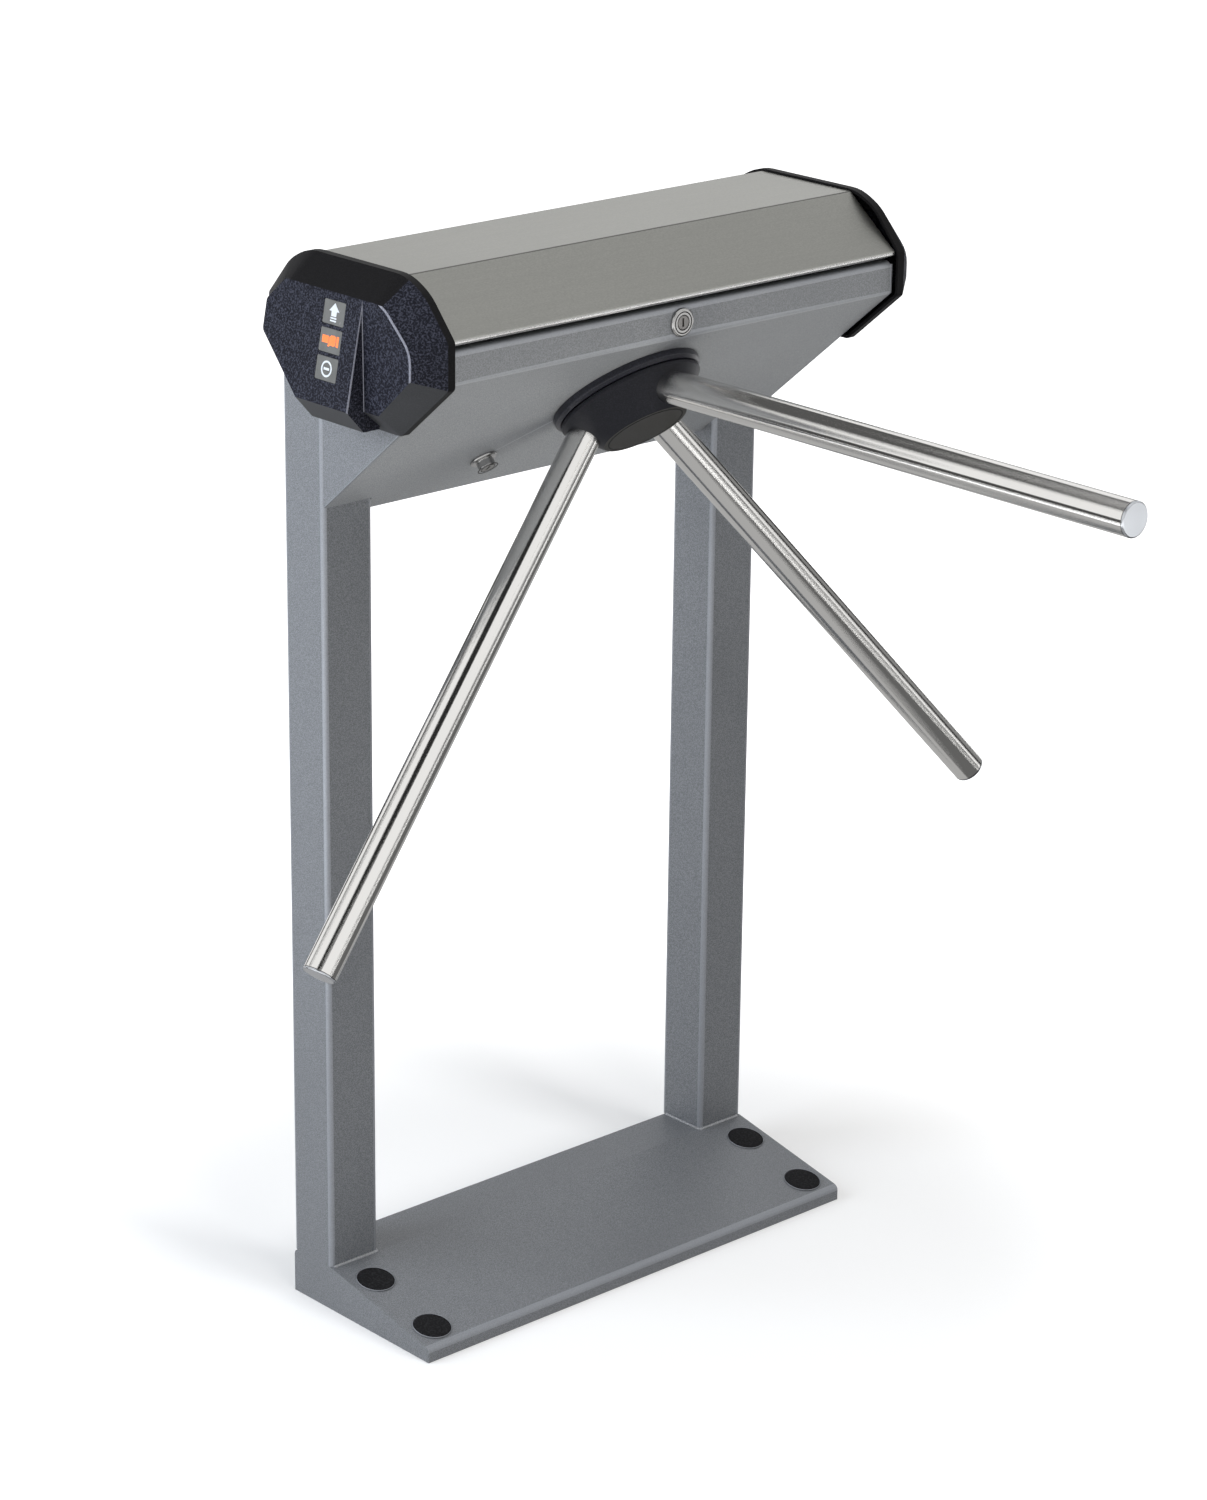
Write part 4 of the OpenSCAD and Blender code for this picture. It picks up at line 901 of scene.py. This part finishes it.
@dataclass
class FloorFrame(SubAssembly):
    """The base with its anchor plugs, and the two posts with their weld beads."""

    fold_edge: float = 0.9
    post_edge: float = 0.5
    sharp: float = 30.0
    post_outer_x: float = 275.0
    post_inner_x: float = 217.0
    post_front_y: float = 78.5
    post_rear_y: float = 136.5
    seam_front_y: float = 76.0
    seam_half_h: float = 0.5
    base_h: float = 45.0
    bead_start: float = 3.0
    bead_stop: float = 6.0
    side_bead_r: float = 1.7
    bead_seed: int = 7
    bead_sharp: float = 80.0
    plug_x: float = 249.0
    plug_y: float = 42.5
    plug_slope: float = 11.5
    plug_rise: float = 0.35
    ring_r: float = 18.6
    ring_w: float = 0.7
    ring_sunk: float = 0.4
    ring_shoulder: float = 0.1
    ring_top: float = 0.35
    ring_steps: int = 64
    ring_sharp: float = 60.0

    def build(self) -> None:
        """Dresses the base and the posts, and lays the beads and rings."""
        self.dress_welded("base_cover", self.fold_edge)
        self.dress_welded("near_post", self.post_edge)
        self.dress_welded("far_post", self.post_edge)
        self.dress("anchor_plugs", SMALL_EDGE)
        self.lay_beads()
        self.lay_rings()

    def in_seam(self, edge: BMEdge) -> bool:
        """Whether an edge lies where the posts stand on the base.

        Args:
            edge: An edge of the base or of a post.

        Returns:
            True for an edge that stays as it is.
        """
        half, front = self.seam_half_h * MM, self.seam_front_y * MM
        points = [vert.co for vert in edge.verts]
        return all(abs(co.z - self.base_h * MM) < half and co.y > front for co in points)

    def dress_welded(self, node: str, width: float) -> None:
        """Dresses a node whose edges are rounded, apart from those in the welded seam, with a painted
        highlight on its rounded edges and bends.

        Args:
            node: The node's name.
            width: Width of its rounded edges in millimetres.
        """
        bm = with_bends(node)
        least = math.radians(self.sharp)
        corners = [e for e in bm.edges if len(e.link_faces) == 2 and e.calc_face_angle(0) > least]
        # The rounded edges get the painted highlight.
        bevel(bm, [e for e in corners if not self.in_seam(e)], width, finish=1, clamp=True)
        self.dress(node, sharp=self.sharp, bm=bm, looks=[Look.PAINT, Look.PAINT_EDGE])

    def lay_beads(self) -> None:
        """Lays a bead along each post's front and inner side, on the base, in a lighter copy of the paint
        that is a painted highlight.
        """
        dice = random.Random(self.bead_seed)
        bm = bmesh.new()
        z = self.base_h
        front, stop = self.post_front_y, self.post_rear_y - self.bead_stop
        for side in (-1, 1):
            outer, inner = side * (self.post_outer_x - self.bead_start), side * self.post_inner_x
            Bead((outer, front, z), (inner, front, z)).add_to(bm, dice)
            Bead((inner, front, z), (inner, stop, z), self.side_bead_r).add_to(bm, dice)
        bmesh.ops.recalc_face_normals(bm, faces=bm.faces)
        # The beads carry a painted highlight.
        self.piece(bm, "post_weld_beads", "frame", "frame_paint", [Look.PAINT_BEAD], sharp=self.bead_sharp)

    def lay_rings(self) -> None:
        """Lays a thin ring with a painted highlight round each anchor plug."""
        bm = bmesh.new()
        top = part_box("anchor_plugs")[1].z / MM
        slope = math.radians(self.plug_slope)
        drop = math.sin(slope) * self.ring_r + self.plug_rise
        r, outer, sunk = self.ring_r, self.ring_r + self.ring_w, -self.ring_sunk
        crest = (r + self.ring_w / 2, self.ring_top)
        profile = [(r, sunk), (outer, sunk), (outer, self.ring_shoulder), crest, (r, self.ring_shoulder)]
        for x in (-self.plug_x, self.plug_x):
            for y in (-self.plug_y, self.plug_y):
                z = top + (y - self.plug_y) * math.tan(slope) - drop
                lean = Matrix.Rotation(slope, 4, "X")
                place = Matrix.Translation(Vector((x, y, z)) * MM) @ lean
                join(bm, turned(profile, place, self.ring_steps))
        # The rings are a painted highlight in the lighter copy of the paint.
        self.piece(bm, "anchor_rings", "frame", "frame_paint", [Look.PAINT_EDGE], sharp=self.ring_sharp)


@dataclass
class Housing(SubAssembly):
    """The folded sheet housing between the posts."""

    sheet_edge: float = 0.8

    def build(self) -> None:
        """Dresses the folded sheet and its side plates, with a painted highlight on their bends and rounded
        edges.
        """
        looks = [Look.PAINT, Look.PAINT_EDGE]
        for node in ("housing_sheet_metal", "near_side_plate", "far_side_plate"):
            self.dress(node, self.sheet_edge, bm=with_bends(node), looks=looks, edge_finish=1)


@dataclass
class Cover(SubAssembly):
    """The hinged stainless cover."""

    sheet_edge: float = SMALL_EDGE
    lip_h: float = 4.4
    lip_lean: float = 0.5
    fold_drop: float = 0.8
    fold_leans: tuple[float, float] = (0.04, 0.58)

    def build(self) -> None:
        """Dresses the shell, with a painted highlight along its lip and a painted dark reflection in its
        top folds, and what it carries.
        """
        bm = merged_copy("cover_shell")
        low, high = (corner.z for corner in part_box("cover_shell"))
        for face in bm.faces:
            z = face.calc_center_median().z
            lean = abs(face.normal.y)
            lip_highlight = z < low + self.lip_h * MM and lean > self.lip_lean
            fold_reflection = z > high - self.fold_drop * MM
            fold_reflection = fold_reflection and self.fold_leans[0] < lean < self.fold_leans[1]
            # Lip faces get the painted highlight, top fold faces the painted dark reflection.
            face.material_index = 1 if lip_highlight else 2 if fold_reflection else 0
        looks = [Look.COVER, Look.COVER_EDGE, Look.COVER_FOLD]
        self.dress("cover_shell", self.sheet_edge, bm=bm, looks=looks)
        for node in ("cover_catch", "cover_hinge_lugs", "cover_hinge_brackets"):
            self.dress(node, self.sheet_edge)


class End(Enum):
    """The ends of the housing, as the camera sees them."""

    NEAR = "near"
    FAR = "far"


class Sign(Enum):
    """The signs in the windows, from the top."""

    GO = "go_arrow"
    PASS_CARD = "card_in_hand"
    NO_ENTRY = "no_entry"


@dataclass
class EndCap(SubAssembly):
    """A moulded cap with its window panel and the signs in its windows."""

    end: End = End.NEAR
    edge: float = 1.0
    sharp: float = 22.0
    band_depth: float = 8.5
    top_lean: float = 0.25
    under_lean: float = 0.3
    half_w: float = 275.0
    out: float = 34.0
    middle_y: float = 17.5
    face_top_z: float = 1032.0
    lean: float = 10.8
    panel_front: float = -41.0
    ridge_front: float = -66.0
    ridge_foot_z: float = 965.0
    ridge_w: float = 1.2
    ridge_angle: float = 8.0
    ridge_slack: float = 0.4
    inward_lean: float = 0.2
    window_y: float = -5.0
    window_first: float = 18.0
    window_pitch: float = 25.0
    window_corner: float = 1.6
    window_edge: float = 0.25
    aligned: float = 0.99
    sign_lift: float = 0.24
    sign_t: float = 0.12
    sign_ring: tuple[float, float] = (5.6, 7.4)
    sign_steps: int = 48

    def side(self) -> int:
        """-1 at the near end and 1 at the far end."""
        return -1 if self.end is End.NEAR else 1

    def panel(self) -> Matrix:
        """Places the leaning window panel.

        Returns:
            Its frame: X inwards, Z up along the panel.
        """
        corner = Vector((-self.half_w - self.out, self.middle_y, self.face_top_z)) * MM
        lean = Matrix.Translation(corner) @ Matrix.Rotation(math.radians(self.lean), 4, "Y")
        return lean if self.end is End.NEAR else Matrix.Scale(-1, 4, (1, 0, 0)) @ lean

    def build(self) -> None:
        """Dresses the cap, its windows and its signs."""
        self.dress_cap()
        self.dress_windows()
        self.add_signs()

    def dress_cap(self) -> None:
        """Grains the cap's slants and face, paints light on its down-facing faces, and rounds its ridges
        with a painted highlight.
        """
        node = f"{self.end.value}_end_cap"
        bm = merged_copy(node)
        low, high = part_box(node)
        inner = high.x if self.end is End.NEAR else low.x
        for face in bm.faces:
            normal = face.normal
            on_band = abs(face.calc_center_median().x - inner) < self.band_depth * MM
            on_top = normal.z > self.top_lean and normal.y > -self.top_lean
            # Down-facing faces get the lighter copy of the smooth plastic, which is painted light.
            face.material_index = 1 if on_band or on_top else 2 if self.is_under(face) else 0
        # Ridge edges are rounded with the painted highlight.
        bevel(bm, [edge for edge in bm.edges if self.is_ridge(edge)], self.ridge_w, finish=3)
        looks = [Look.CAP, Look.CAP_SMOOTH, Look.CAP_UNDER, Look.CAP_RIDGE]
        self.dress(node, self.edge, self.sharp, bm, looks)

    def is_under(self, face: bmesh.types.BMFace) -> bool:
        """Whether a face looks down."""
        return face.normal.z < -self.under_lean

    def is_ridge(self, edge: BMEdge) -> bool:
        """Whether an edge is the panel's front edge or the front ridge of the face.

        Args:
            edge: An edge of the cap.

        Returns:
            True for an edge that gets a painted highlight.
        """
        faces = edge.link_faces
        if len(faces) != 2 or edge.calc_face_angle(0) < math.radians(self.ridge_angle):
            return False
        if any(self.is_under(face) for face in faces):
            return False
        outside = all(face.normal.x * self.side() > -self.inward_lean for face in faces)
        face_x = self.half_w + self.out
        outs = [vert.co.x * self.side() / MM - face_x for vert in edge.verts]
        deep = [vert.co.y / MM - self.middle_y for vert in edge.verts]
        slack = self.ridge_slack
        on_panel = all(abs(y - self.panel_front) < slack for y in deep) and min(outs) > -slack
        on_face = all(abs(x) < slack for x in outs)
        high = min(vert.co.z for vert in edge.verts) > self.ridge_foot_z * MM
        at_front = high and all(y < self.ridge_front for y in deep)
        return outside and (on_panel or (on_face and at_front))

    def dress_windows(self) -> None:
        """Rounds the corners of the smoked windows."""
        node = f"{self.end.value}_windows"
        bm = merged_copy(node)
        deep = self.panel().to_3x3() @ Vector((1, 0, 0))
        ways = [(e, (e.verts[0].co - e.verts[1].co).normalized()) for e in bm.edges]
        corners = [e for e, way in ways if abs(way.dot(deep)) > self.aligned]
        bevel(bm, corners, self.window_corner, steps=4)
        self.dress(node, self.window_edge, bm=bm, looks=[Look.PANE])

    def add_signs(self) -> None:
        """Lays a sign on each window."""
        low, high = self.sign_lift, self.sign_lift + self.sign_t
        for number, sign in enumerate(Sign):
            bm = bmesh.new()
            for outline in self.outlines(sign):
                flat = bm.faces.new([bm.verts.new((low * MM, y * MM, z * MM)) for y, z in outline])
                grown = bmesh.ops.extrude_face_region(bm, geom=[flat])["geom"]
                verts = [item for item in grown if isinstance(item, BMVert)]
                bmesh.ops.translate(bm, vec=(self.sign_t * MM, 0, 0), verts=verts)
            if sign is Sign.NO_ENTRY:
                inner, outer = self.sign_ring
                profile = [(inner, low), (outer, low), (outer, high), (inner, high)]
                join(bm, turned(profile, Matrix.Rotation(math.pi / 2, 4, "Y"), self.sign_steps))
            drop = self.window_first + number * self.window_pitch
            place = self.panel() @ Matrix.Translation(Vector((0, self.window_y, -drop)) * MM)
            bmesh.ops.transform(bm, matrix=place, verts=bm.verts)
            bmesh.ops.recalc_face_normals(bm, faces=bm.faces)
            look = Look.ORANGE_SIGN if sign is Sign.PASS_CARD else Look.WHITE_SIGN
            self.piece(bm, f"{self.end.value}_{sign.value}", "frame", "window_pane", [look])

    def outlines(self, sign: Sign) -> list[Profile]:
        """Draws a sign across and up its window, in millimetres.

        Args:
            sign: The sign.

        Returns:
            Its closed outlines.
        """
        if sign is Sign.GO:
            return [
                [(-3.6, -3.4), (3.6, -3.4), (3.6, 1.2), (7, 1.2), (0, 8.6), (-7, 1.2), (-3.6, 1.2)],
                [(-4.2, -5.6), (4.2, -5.6), (4.2, -4.2), (-4.2, -4.2)],
                [(-4.2, -8), (4.2, -8), (4.2, -6.6), (-4.2, -6.6)],
            ]
        if sign is Sign.PASS_CARD:
            card = [(2.4, -2.6), (11.4, -2.6), (11.4, 4), (2.4, 4)]
            hand = [
                (1.8, 3.2), (-0.6, 5), (-5, 5.4), (-7.4, 4.4), (-7.4, -3.4), (-4, -4.4),
                (-1, -3.8), (1.4, -5.4), (3.4, -5), (2.6, -3.4), (1.8, -2.4),
            ]
            cuff = [(-8.2, 5), (-11.4, 5.4), (-11.4, -4.4), (-8.2, -4)]
            return [card, hand, cuff]
        return [[(-3.8, -1.1), (3.8, -1.1), (3.8, 1.1), (-3.8, 1.1)]]


@dataclass
class Lock(SubAssembly):
    """A ringed lock barrel with its plug and cam, and the grooves in its face."""

    name: str = "cover_lock"
    barrel_edge: float = 0.9
    groove_steps: int = 64
    grooves: tuple[tuple[float, float], ...] = ((9.4, 10.5), (6.7, 7.4))
    groove_t: float = 0.08
    groove_sunk: float = 0.2

    def build(self) -> None:
        """Dresses the barrel, the plug and the cam, and marks the grooves."""
        self.dress(f"{self.name}_barrel", self.barrel_edge)
        self.dress(f"{self.name}_plug", SMALL_EDGE, looks=[Look.LOCK_PLUG])
        self.dress(f"{self.name}_cam", SMALL_EDGE)
        joint = JOINTS[f"{self.name}_turn"]
        centre, axis = Vector(joint["pos_m"]), Vector(joint["axis"]).normalized()
        out = axis if axis.y < 0 else -axis
        barrel = frame["nodes"][f"{self.name}_barrel"].data
        front = max((vert.co - centre).dot(out) for vert in barrel.vertices)
        place = frame_along(centre + front * out, out, Vector((1, 0, 0)))
        bm = bmesh.new()
        low, high = -self.groove_sunk, self.groove_t
        for inner, outer in self.grooves:
            profile = [(inner, low), (outer, low), (outer, high), (inner, high)]
            join(bm, turned(profile, place, self.groove_steps))
        self.piece(bm, f"{self.name}_grooves", "frame", "lock_chrome", [Look.GROOVE])


@dataclass
class TripodHead(SubAssembly):
    """The flange, the turning cone, its disc and the three arms."""

    arm_d: float = 32.0
    arm_wall: float = 2.0
    arm_reach: float = 636.0
    arm_plug_rim: float = 2.5
    plug_round: float = 1.5
    plug_steps: int = 6
    seam_sunk: float = 0.5
    seam_proud: float = 0.03
    seam_from: float = -0.2
    seam_to: float = 0.35
    arms_meet: float = 18.5
    socket_start: float = 63.0
    nose_depth: float = 44.0
    nose_level: float = 0.95
    disc_r: float = 37.7
    disc_proud: float = 0.3
    line_back: float = 0.5
    line_out: float = 0.4
    line_step: float = 0.1
    line_dip: float = 0.06
    flange_edge: float = 0.6
    cone_edge: float = 0.8
    bolt_edge: float = 0.4
    steps: int = 128
    turns: Point = (0.0, -120.0, 120.0)
    names: tuple[str, str, str] = ("blocking_arm", "near_arm", "far_arm")

    def hub(self) -> Matrix:
        """The hub's frame: +Z up the shaft, on the housing's underside."""
        joint = JOINTS["tripod_spin"]
        return frame_along(Vector(joint["pos_m"]), Vector(joint["axis"]), Vector((1, 0, 0)))

    def arm_frame(self, turn: float) -> Matrix:
        """The frame of one arm: +Z from the point where the arms meet to its end.

        Args:
            turn: The arm's angle round the hub in degrees.

        Returns:
            The frame's matrix.
        """
        axis = Vector(JOINTS["tripod_spin"]["axis"])
        splay = math.pi / 2 - math.atan2(axis.y, axis.z)
        hub = self.hub() @ Matrix.Translation((0, 0, self.arms_meet * MM))
        around = Matrix.Rotation(math.radians(turn - 90), 4, "Z")
        return hub @ around @ Matrix.Rotation(math.pi - splay, 4, "Y")

    def build(self) -> None:
        """Dresses the head and turns the arms."""
        self.dress("hub_flange", self.flange_edge, looks=[Look.HUB_FLANGE])
        self.dress_cone()
        self.dress("hub_cap", SMALL_EDGE)
        self.dress("hub_bolt", self.bolt_edge)
        self.add_line()
        for name, turn in zip(self.names, self.turns):
            self.add_tube(name, self.arm_frame(turn))
        self.add_rings("arm_end_caps", self.plug_profile(), Look.ARM_END, ["arm_end_plugs"])
        self.add_rings("arm_end_seams", self.seam_profile(), Look.GROOVE)

    def dress_cone(self) -> None:
        """Paints the cone's nose like its disc."""
        bm = merged_copy("hub_cone")
        down = -Vector(JOINTS["tripod_spin"]["axis"])
        for face in bm.faces:
            face.material_index = 1 if face.normal.dot(down) > self.nose_level else 0
        self.dress("hub_cone", self.cone_edge, bm=bm, looks=[Look.HUB, Look.HUB_FACE])

    def add_line(self) -> None:
        """Lays the black line round the cone's disc."""
        face = -self.nose_depth - self.disc_proud
        back, outer = face + self.line_back, self.disc_r + self.line_out
        inner = self.disc_r - self.line_back
        front = [(outer, face + self.line_step), (inner, face - self.line_dip)]
        bm = turned([(inner, back), (outer, back), *front], self.hub(), self.steps)
        self.piece(bm, "disc_edge_line", "tripod", "hub_black", [Look.RUBBER])

    def add_tube(self, name: str, place: Matrix) -> None:
        """Turns an arm's tube, open at its end and closed inside its socket.

        Args:
            name: The arm's node.
            place: The arm's frame.
        """
        r, start, end = self.arm_d / 2, self.socket_start, self.arm_reach - self.arm_plug_rim
        bore, floor = r - self.arm_wall, start + self.arm_d
        tube = [(0, start), (r, start), (r, end), (bore, end), (bore, floor), (0, floor)]
        axis = tuple(place.to_3x3() @ Vector((0, 0, 1)))
        look = TubeLook(PolishedTube(f"polished_{name}_steel", axis=axis))
        bm = turned(tube, place, self.steps)
        self.piece(bm, f"{name}_tube", "tripod", "arm_steel", [look], [name], SMALL_EDGE)

    def add_rings(self, name: str, profile: Profile, look: Look, nodes: Sequence[str] = ()) -> None:
        """Turns one profile round the end of each arm, as one piece.

        Args:
            name: The piece's name.
            profile: Radius and height points in millimetres, along the arm.
            look: Its finish.
            nodes: The CAD nodes that it stands for.
        """
        bm = bmesh.new()
        for turn in self.turns:
            join(bm, turned(profile, self.arm_frame(turn), self.steps))
        self.piece(bm, name, "tripod", "arm_steel", [look], nodes)

    def plug_profile(self) -> Profile:
        """Draws an arm's end plug with its rounded rim.

        Returns:
            Its profile round the arm's axis.
        """
        r, end, round_r = self.arm_d / 2, self.arm_reach, self.plug_round
        back = end - self.arm_plug_rim
        angles = [math.pi / 2 * k / self.plug_steps for k in range(self.plug_steps + 1)]
        arc = [(math.sin(a) * round_r, math.cos(a) * round_r) for a in angles]
        rim = [(r - round_r + x, end - round_r + z) for x, z in arc]
        return [(0, end), *rim, (r, back), (r - self.arm_wall, back), (0, back)]

    def seam_profile(self) -> Profile:
        """Draws the dark seam between an arm's tube and its end plug.

        Returns:
            Its profile round the arm's axis.
        """
        end = self.arm_reach - self.arm_plug_rim
        inner, outer = self.arm_d / 2 - self.seam_sunk, self.arm_d / 2 + self.seam_proud
        low, high = end + self.seam_from, end + self.seam_to
        return [(inner, low), (outer, low), (outer, high), (inner, high)]


@dataclass
class Mechanism(SubAssembly):
    """What keeps its CAD mesh, most of it inside the housing."""

    def build(self) -> None:
        """Gives a finish to every node that no piece stands for."""
        dressed = {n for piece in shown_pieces() for n in piece.get("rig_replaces", [])}
        for name, node in frame["nodes"].items():
            if name in dressed:
                continue
            node.data.materials.clear()
            node.data.materials.append(LOOK_OF_SLOT[SLOT_OF[name]].value.material())
            log.info("%s keeps its CAD mesh", name)


def facing(place: Point, aim: Point, axis: str) -> Quaternion:
    """The turn that points an axis from a place to its aim."""
    return (Vector(aim) - Vector(place)).to_track_quat(axis, "Y")


def stage_sheet(name: str, place: Matrix) -> tuple[bpy.types.Object, Tree]:
    """Lays a sheet, one metre square before its placing, that isn't part of the object.

    Args:
        name: Its name and its material's.
        place: Its place, turn and size.

    Returns:
        The sheet, and the empty node tree of its material.
    """
    bm = bmesh.new()
    bmesh.ops.create_grid(bm, x_segments=1, y_segments=1, size=0.5)
    bmesh.ops.transform(bm, matrix=place, verts=bm.verts)
    mesh = new_mesh(bm, name)
    tree = Tree(bpy.data.materials.new(name))
    mesh.materials.append(tree.owner)
    sheet = new_object(name, mesh)
    sheet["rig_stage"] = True
    return sheet, tree


@dataclass(frozen=True)
class Lamp:
    """A soft square lamp, for all objects or for those whose names begin with one word."""

    name: str
    place: Point
    aim: Point
    side: float
    watts: float
    colour: Colour = WHITE
    lights: str = ""

    def build(self) -> None:
        """Hangs the lamp and turns it to its aim."""
        data = bpy.data.lights.new(self.name, "AREA")
        data.shape = "SQUARE"
        data.size = self.side
        data.energy = self.watts
        data.color = self.colour
        lamp = new_object(self.name, data)
        lamp.location = self.place
        lamp.rotation_euler = facing(self.place, self.aim, "-Z").to_euler()
        lamp.visible_camera = False
        lamp.visible_glossy = False
        if self.lights:
            lit = bpy.data.collections.new(f"{self.name}_lights")
            for item in bpy.data.objects:
                if item.name.startswith(self.lights):
                    lit.objects.link(item)
            lamp.light_linking.receiver_collection = lit


@dataclass(frozen=True)
class Card:
    """A flat card that only reflections see."""

    name: str
    place: Point
    aim: Point
    width: float
    height: float
    grey: float

    def build(self) -> None:
        """Sets the card up, facing its aim."""
        turn = facing(self.place, self.aim, "Z").to_matrix().to_4x4()
        scale = Matrix.Diagonal((self.width, self.height, 1, 1))
        card, tree = stage_sheet(self.name, Matrix.Translation(self.place) @ turn @ scale)
        tree.finish(tree.add("Emission", {"Color": rgba((self.grey,) * 3)}))
        card.visible_camera = False
        card.visible_diffuse = False
        card.visible_shadow = False
        card.visible_transmission = False


@dataclass
class Studio:
    """White floor and backdrop, soft lamps, cards and the camera."""

    floor_side: float = 18.0
    floor_drop: float = 0.0004
    ambient: float = 0.36
    floor_tone: float = 0.80
    floor_lift: float = 0.21
    far_lift: float = 1.0
    near_radius: float = 0.35
    far_radius: float = 1.0
    azimuth: float = -42.322
    elevation: float = 19.6
    roll: float = 0.684
    distance: float = 4.121
    target: Point = (0.03619, 0.0365, 0.51957)
    focal_px: float = 4228.85
    frame_px: float = 1500.0
    sensor: float = 36.0
    clips: tuple[float, float] = (0.1, 60.0)
    lamps: tuple[Lamp, ...] = (
        Lamp("side_softbox", (-1.7, 0.6, 1.2), (0, 0, 0.5), 1.5, 28.5, (0.86, 0.92, 1.0)),
        Lamp("top_softbox", (0.3, -0.2, 3.6), (0, 0, 0.6), 2.6, 14.0),
        Lamp("front_key", (-0.7, -2.1, 3.5), (0, 0, 0.3), 0.8, 19.0, (1.0, 0.98, 0.95)),
        Lamp(
            "housing_bounce",
            (-0.1, -0.6, 0.35), (0, -0.1, 1.0), 0.6, 4.2, (1.0, 0.965, 0.86), lights="housing",
        ),
        Lamp("floor_lamp", (0.5, -3.2, 1.8), (0, 0, 0.2), 1.1, 62.0, lights="studio_floor"),
    )
    cards: tuple[Card, ...] = (
        Card("rear_card", (-0.2, 3.9, 4.65), (-0.2, 3.0, 3.85), 6.4, 3.2, 0.11),
        Card("rear_low_card", (3.4, 3.3, 0.9), (0, -0.4, 0.95), 2.4, 1.6, 0.2),
        Card("overhead_flag", (-2.7, -2.5, 5.3), (-0.2, -0.2, 0.55), 3.2, 3.2, 0.03),
        Card("slope_card", (3.2, -0.8, 4.6), (0, 0, 1.0), 3.0, 3.0, 0.55),
        Card("right_flag", (5.0, -1.9, 1.1), (0.3, -0.3, 0.7), 1.3, 2.2, 0.03),
        Card("right_grey_card", (5.7, 0.0, 1.0), (0.3, 0, 1.0), 3.4, 2.6, 0.28),
        Card("right_rear_flag", (4.7, 1.9, 0.8), (0.3, -0.3, 0.7), 2.2, 2.2, 0.03),
        Card("front_right_card", (2.7, -3.8, 0.5), (0, 0, 0.6), 2.4, 1.1, 0.2),
        Card("low_rear_flag", (-2.0, 1.6, 0.3), (0, -0.4, 0.9), 2.2, 0.8, 0.08),
        Card("back_flag", (0.3, 4.2, 1.0), (0, 0, 0.6), 1.7, 1.9, 0.06),
        Card("floor_mat", (0.6, -0.2, 0.0006), (0.6, -0.2, 1.0), 3.4, 4.2, 0.48),
        Card("rear_left_mat", (-1.6, 1.25, 0.0018), (-1.6, 1.25, 1.0), 0.8, 0.8, 0.06),
        Card("front_mat", (1.7, -1.25, 0.0012), (1.7, -1.25, 1.0), 2.9, 2.1, 0.15),
    )

    def build(self) -> None:
        """Sets up everything round the object."""
        self.lay_floor()
        self.light_world()
        for item in (*self.lamps, *self.cards):
            item.build()
        self.place_camera()
        bpy.context.scene.view_settings.view_transform = "Standard"

    def seen_directly(self, tree: Tree) -> Wire:
        """Tells rays that are seen from those that only light.

        Args:
            tree: The tree that asks.

        Returns:
            1 for camera, glossy and transmission rays, and 0 for the others.
        """
        path = tree.nodes.new("ShaderNodeLightPath")
        names = ("Is Camera Ray", "Is Glossy Ray", "Is Transmission Ray")
        camera, glossy, clear = (Wire(tree, path.outputs[name]) for name in names)
        return camera.math("MAXIMUM", camera, glossy.math("MAXIMUM", glossy, clear))

    def lay_floor(self) -> None:
        """Lays a pale floor that keeps the object's shadow."""
        size = Matrix.Diagonal((self.floor_side, self.floor_side, 1, 1))
        place = Matrix.Translation((0, 0, -self.floor_drop)) @ size
        _, tree = stage_sheet("studio_floor", place)
        distance = tree.point().vector("LENGTH", out=1)
        share = distance.between(self.near_radius, self.far_radius)
        lift = self.floor_lift + share * (self.far_lift - self.floor_lift)
        sockets = {"Color": rgba(WHITE), "Strength": self.seen_directly(tree) * lift}
        glow = tree.add("Emission", sockets)
        paper = tree.add("BsdfDiffuse", {"Color": rgba((self.floor_tone,) * 3)})
        tree.finish(tree.add("AddShader", {0: paper, 1: glow}))

    def light_world(self) -> None:
        """Makes the backdrop white to the eye and dimmer as a light."""
        world = bpy.data.worlds.new("studio_backdrop")
        bpy.context.scene.world = world
        tree = Tree(world)
        seen = self.seen_directly(tree)
        strength = seen + (1 - seen) * self.ambient
        back = tree.add("Background", {"Color": rgba(WHITE), "Strength": strength})
        tree.finish(back, "OutputWorld")

    def place_camera(self) -> None:
        """Puts the camera where the photograph was taken from."""
        az, el, roll = (math.radians(a) for a in (self.azimuth, self.elevation, self.roll))
        back = Vector((math.sin(az) * math.cos(el), -math.cos(az) * math.cos(el), math.sin(el)))
        right = Vector((math.cos(az), math.sin(az), 0))
        up = back.cross(right)
        side = math.cos(roll) * right + math.sin(roll) * up
        top = -math.sin(roll) * right + math.cos(roll) * up
        turn = Matrix((side, top, back)).transposed().to_4x4()
        data = bpy.data.cameras.new("camera")
        data.sensor_width = self.sensor
        data.sensor_fit = "AUTO"
        data.lens = self.focal_px * self.sensor / self.frame_px
        data.clip_start, data.clip_end = self.clips
        camera = new_object("camera", data)
        place = Vector(self.target) + self.distance * back
        camera.matrix_world = Matrix.Translation(place) @ turn
        bpy.context.scene.camera = camera


def main() -> None:
    """Builds the sub-assemblies in order, and then the studio."""
    logging.basicConfig(level=logging.INFO, format="%(message)s")
    parts: list[SubAssembly] = [
        FloorFrame(),
        Housing(),
        Cover(),
        EndCap(end=End.NEAR),
        EndCap(end=End.FAR),
        Lock(name="cover_lock"),
        Lock(name="release_lock"),
        TripodHead(),
        Mechanism(),
    ]
    for part in parts:
        part.build()
        log.info("%s: %d pieces", type(part).__name__, len(part.made))
    Studio().build()


if __name__ == "__main__":
    main()
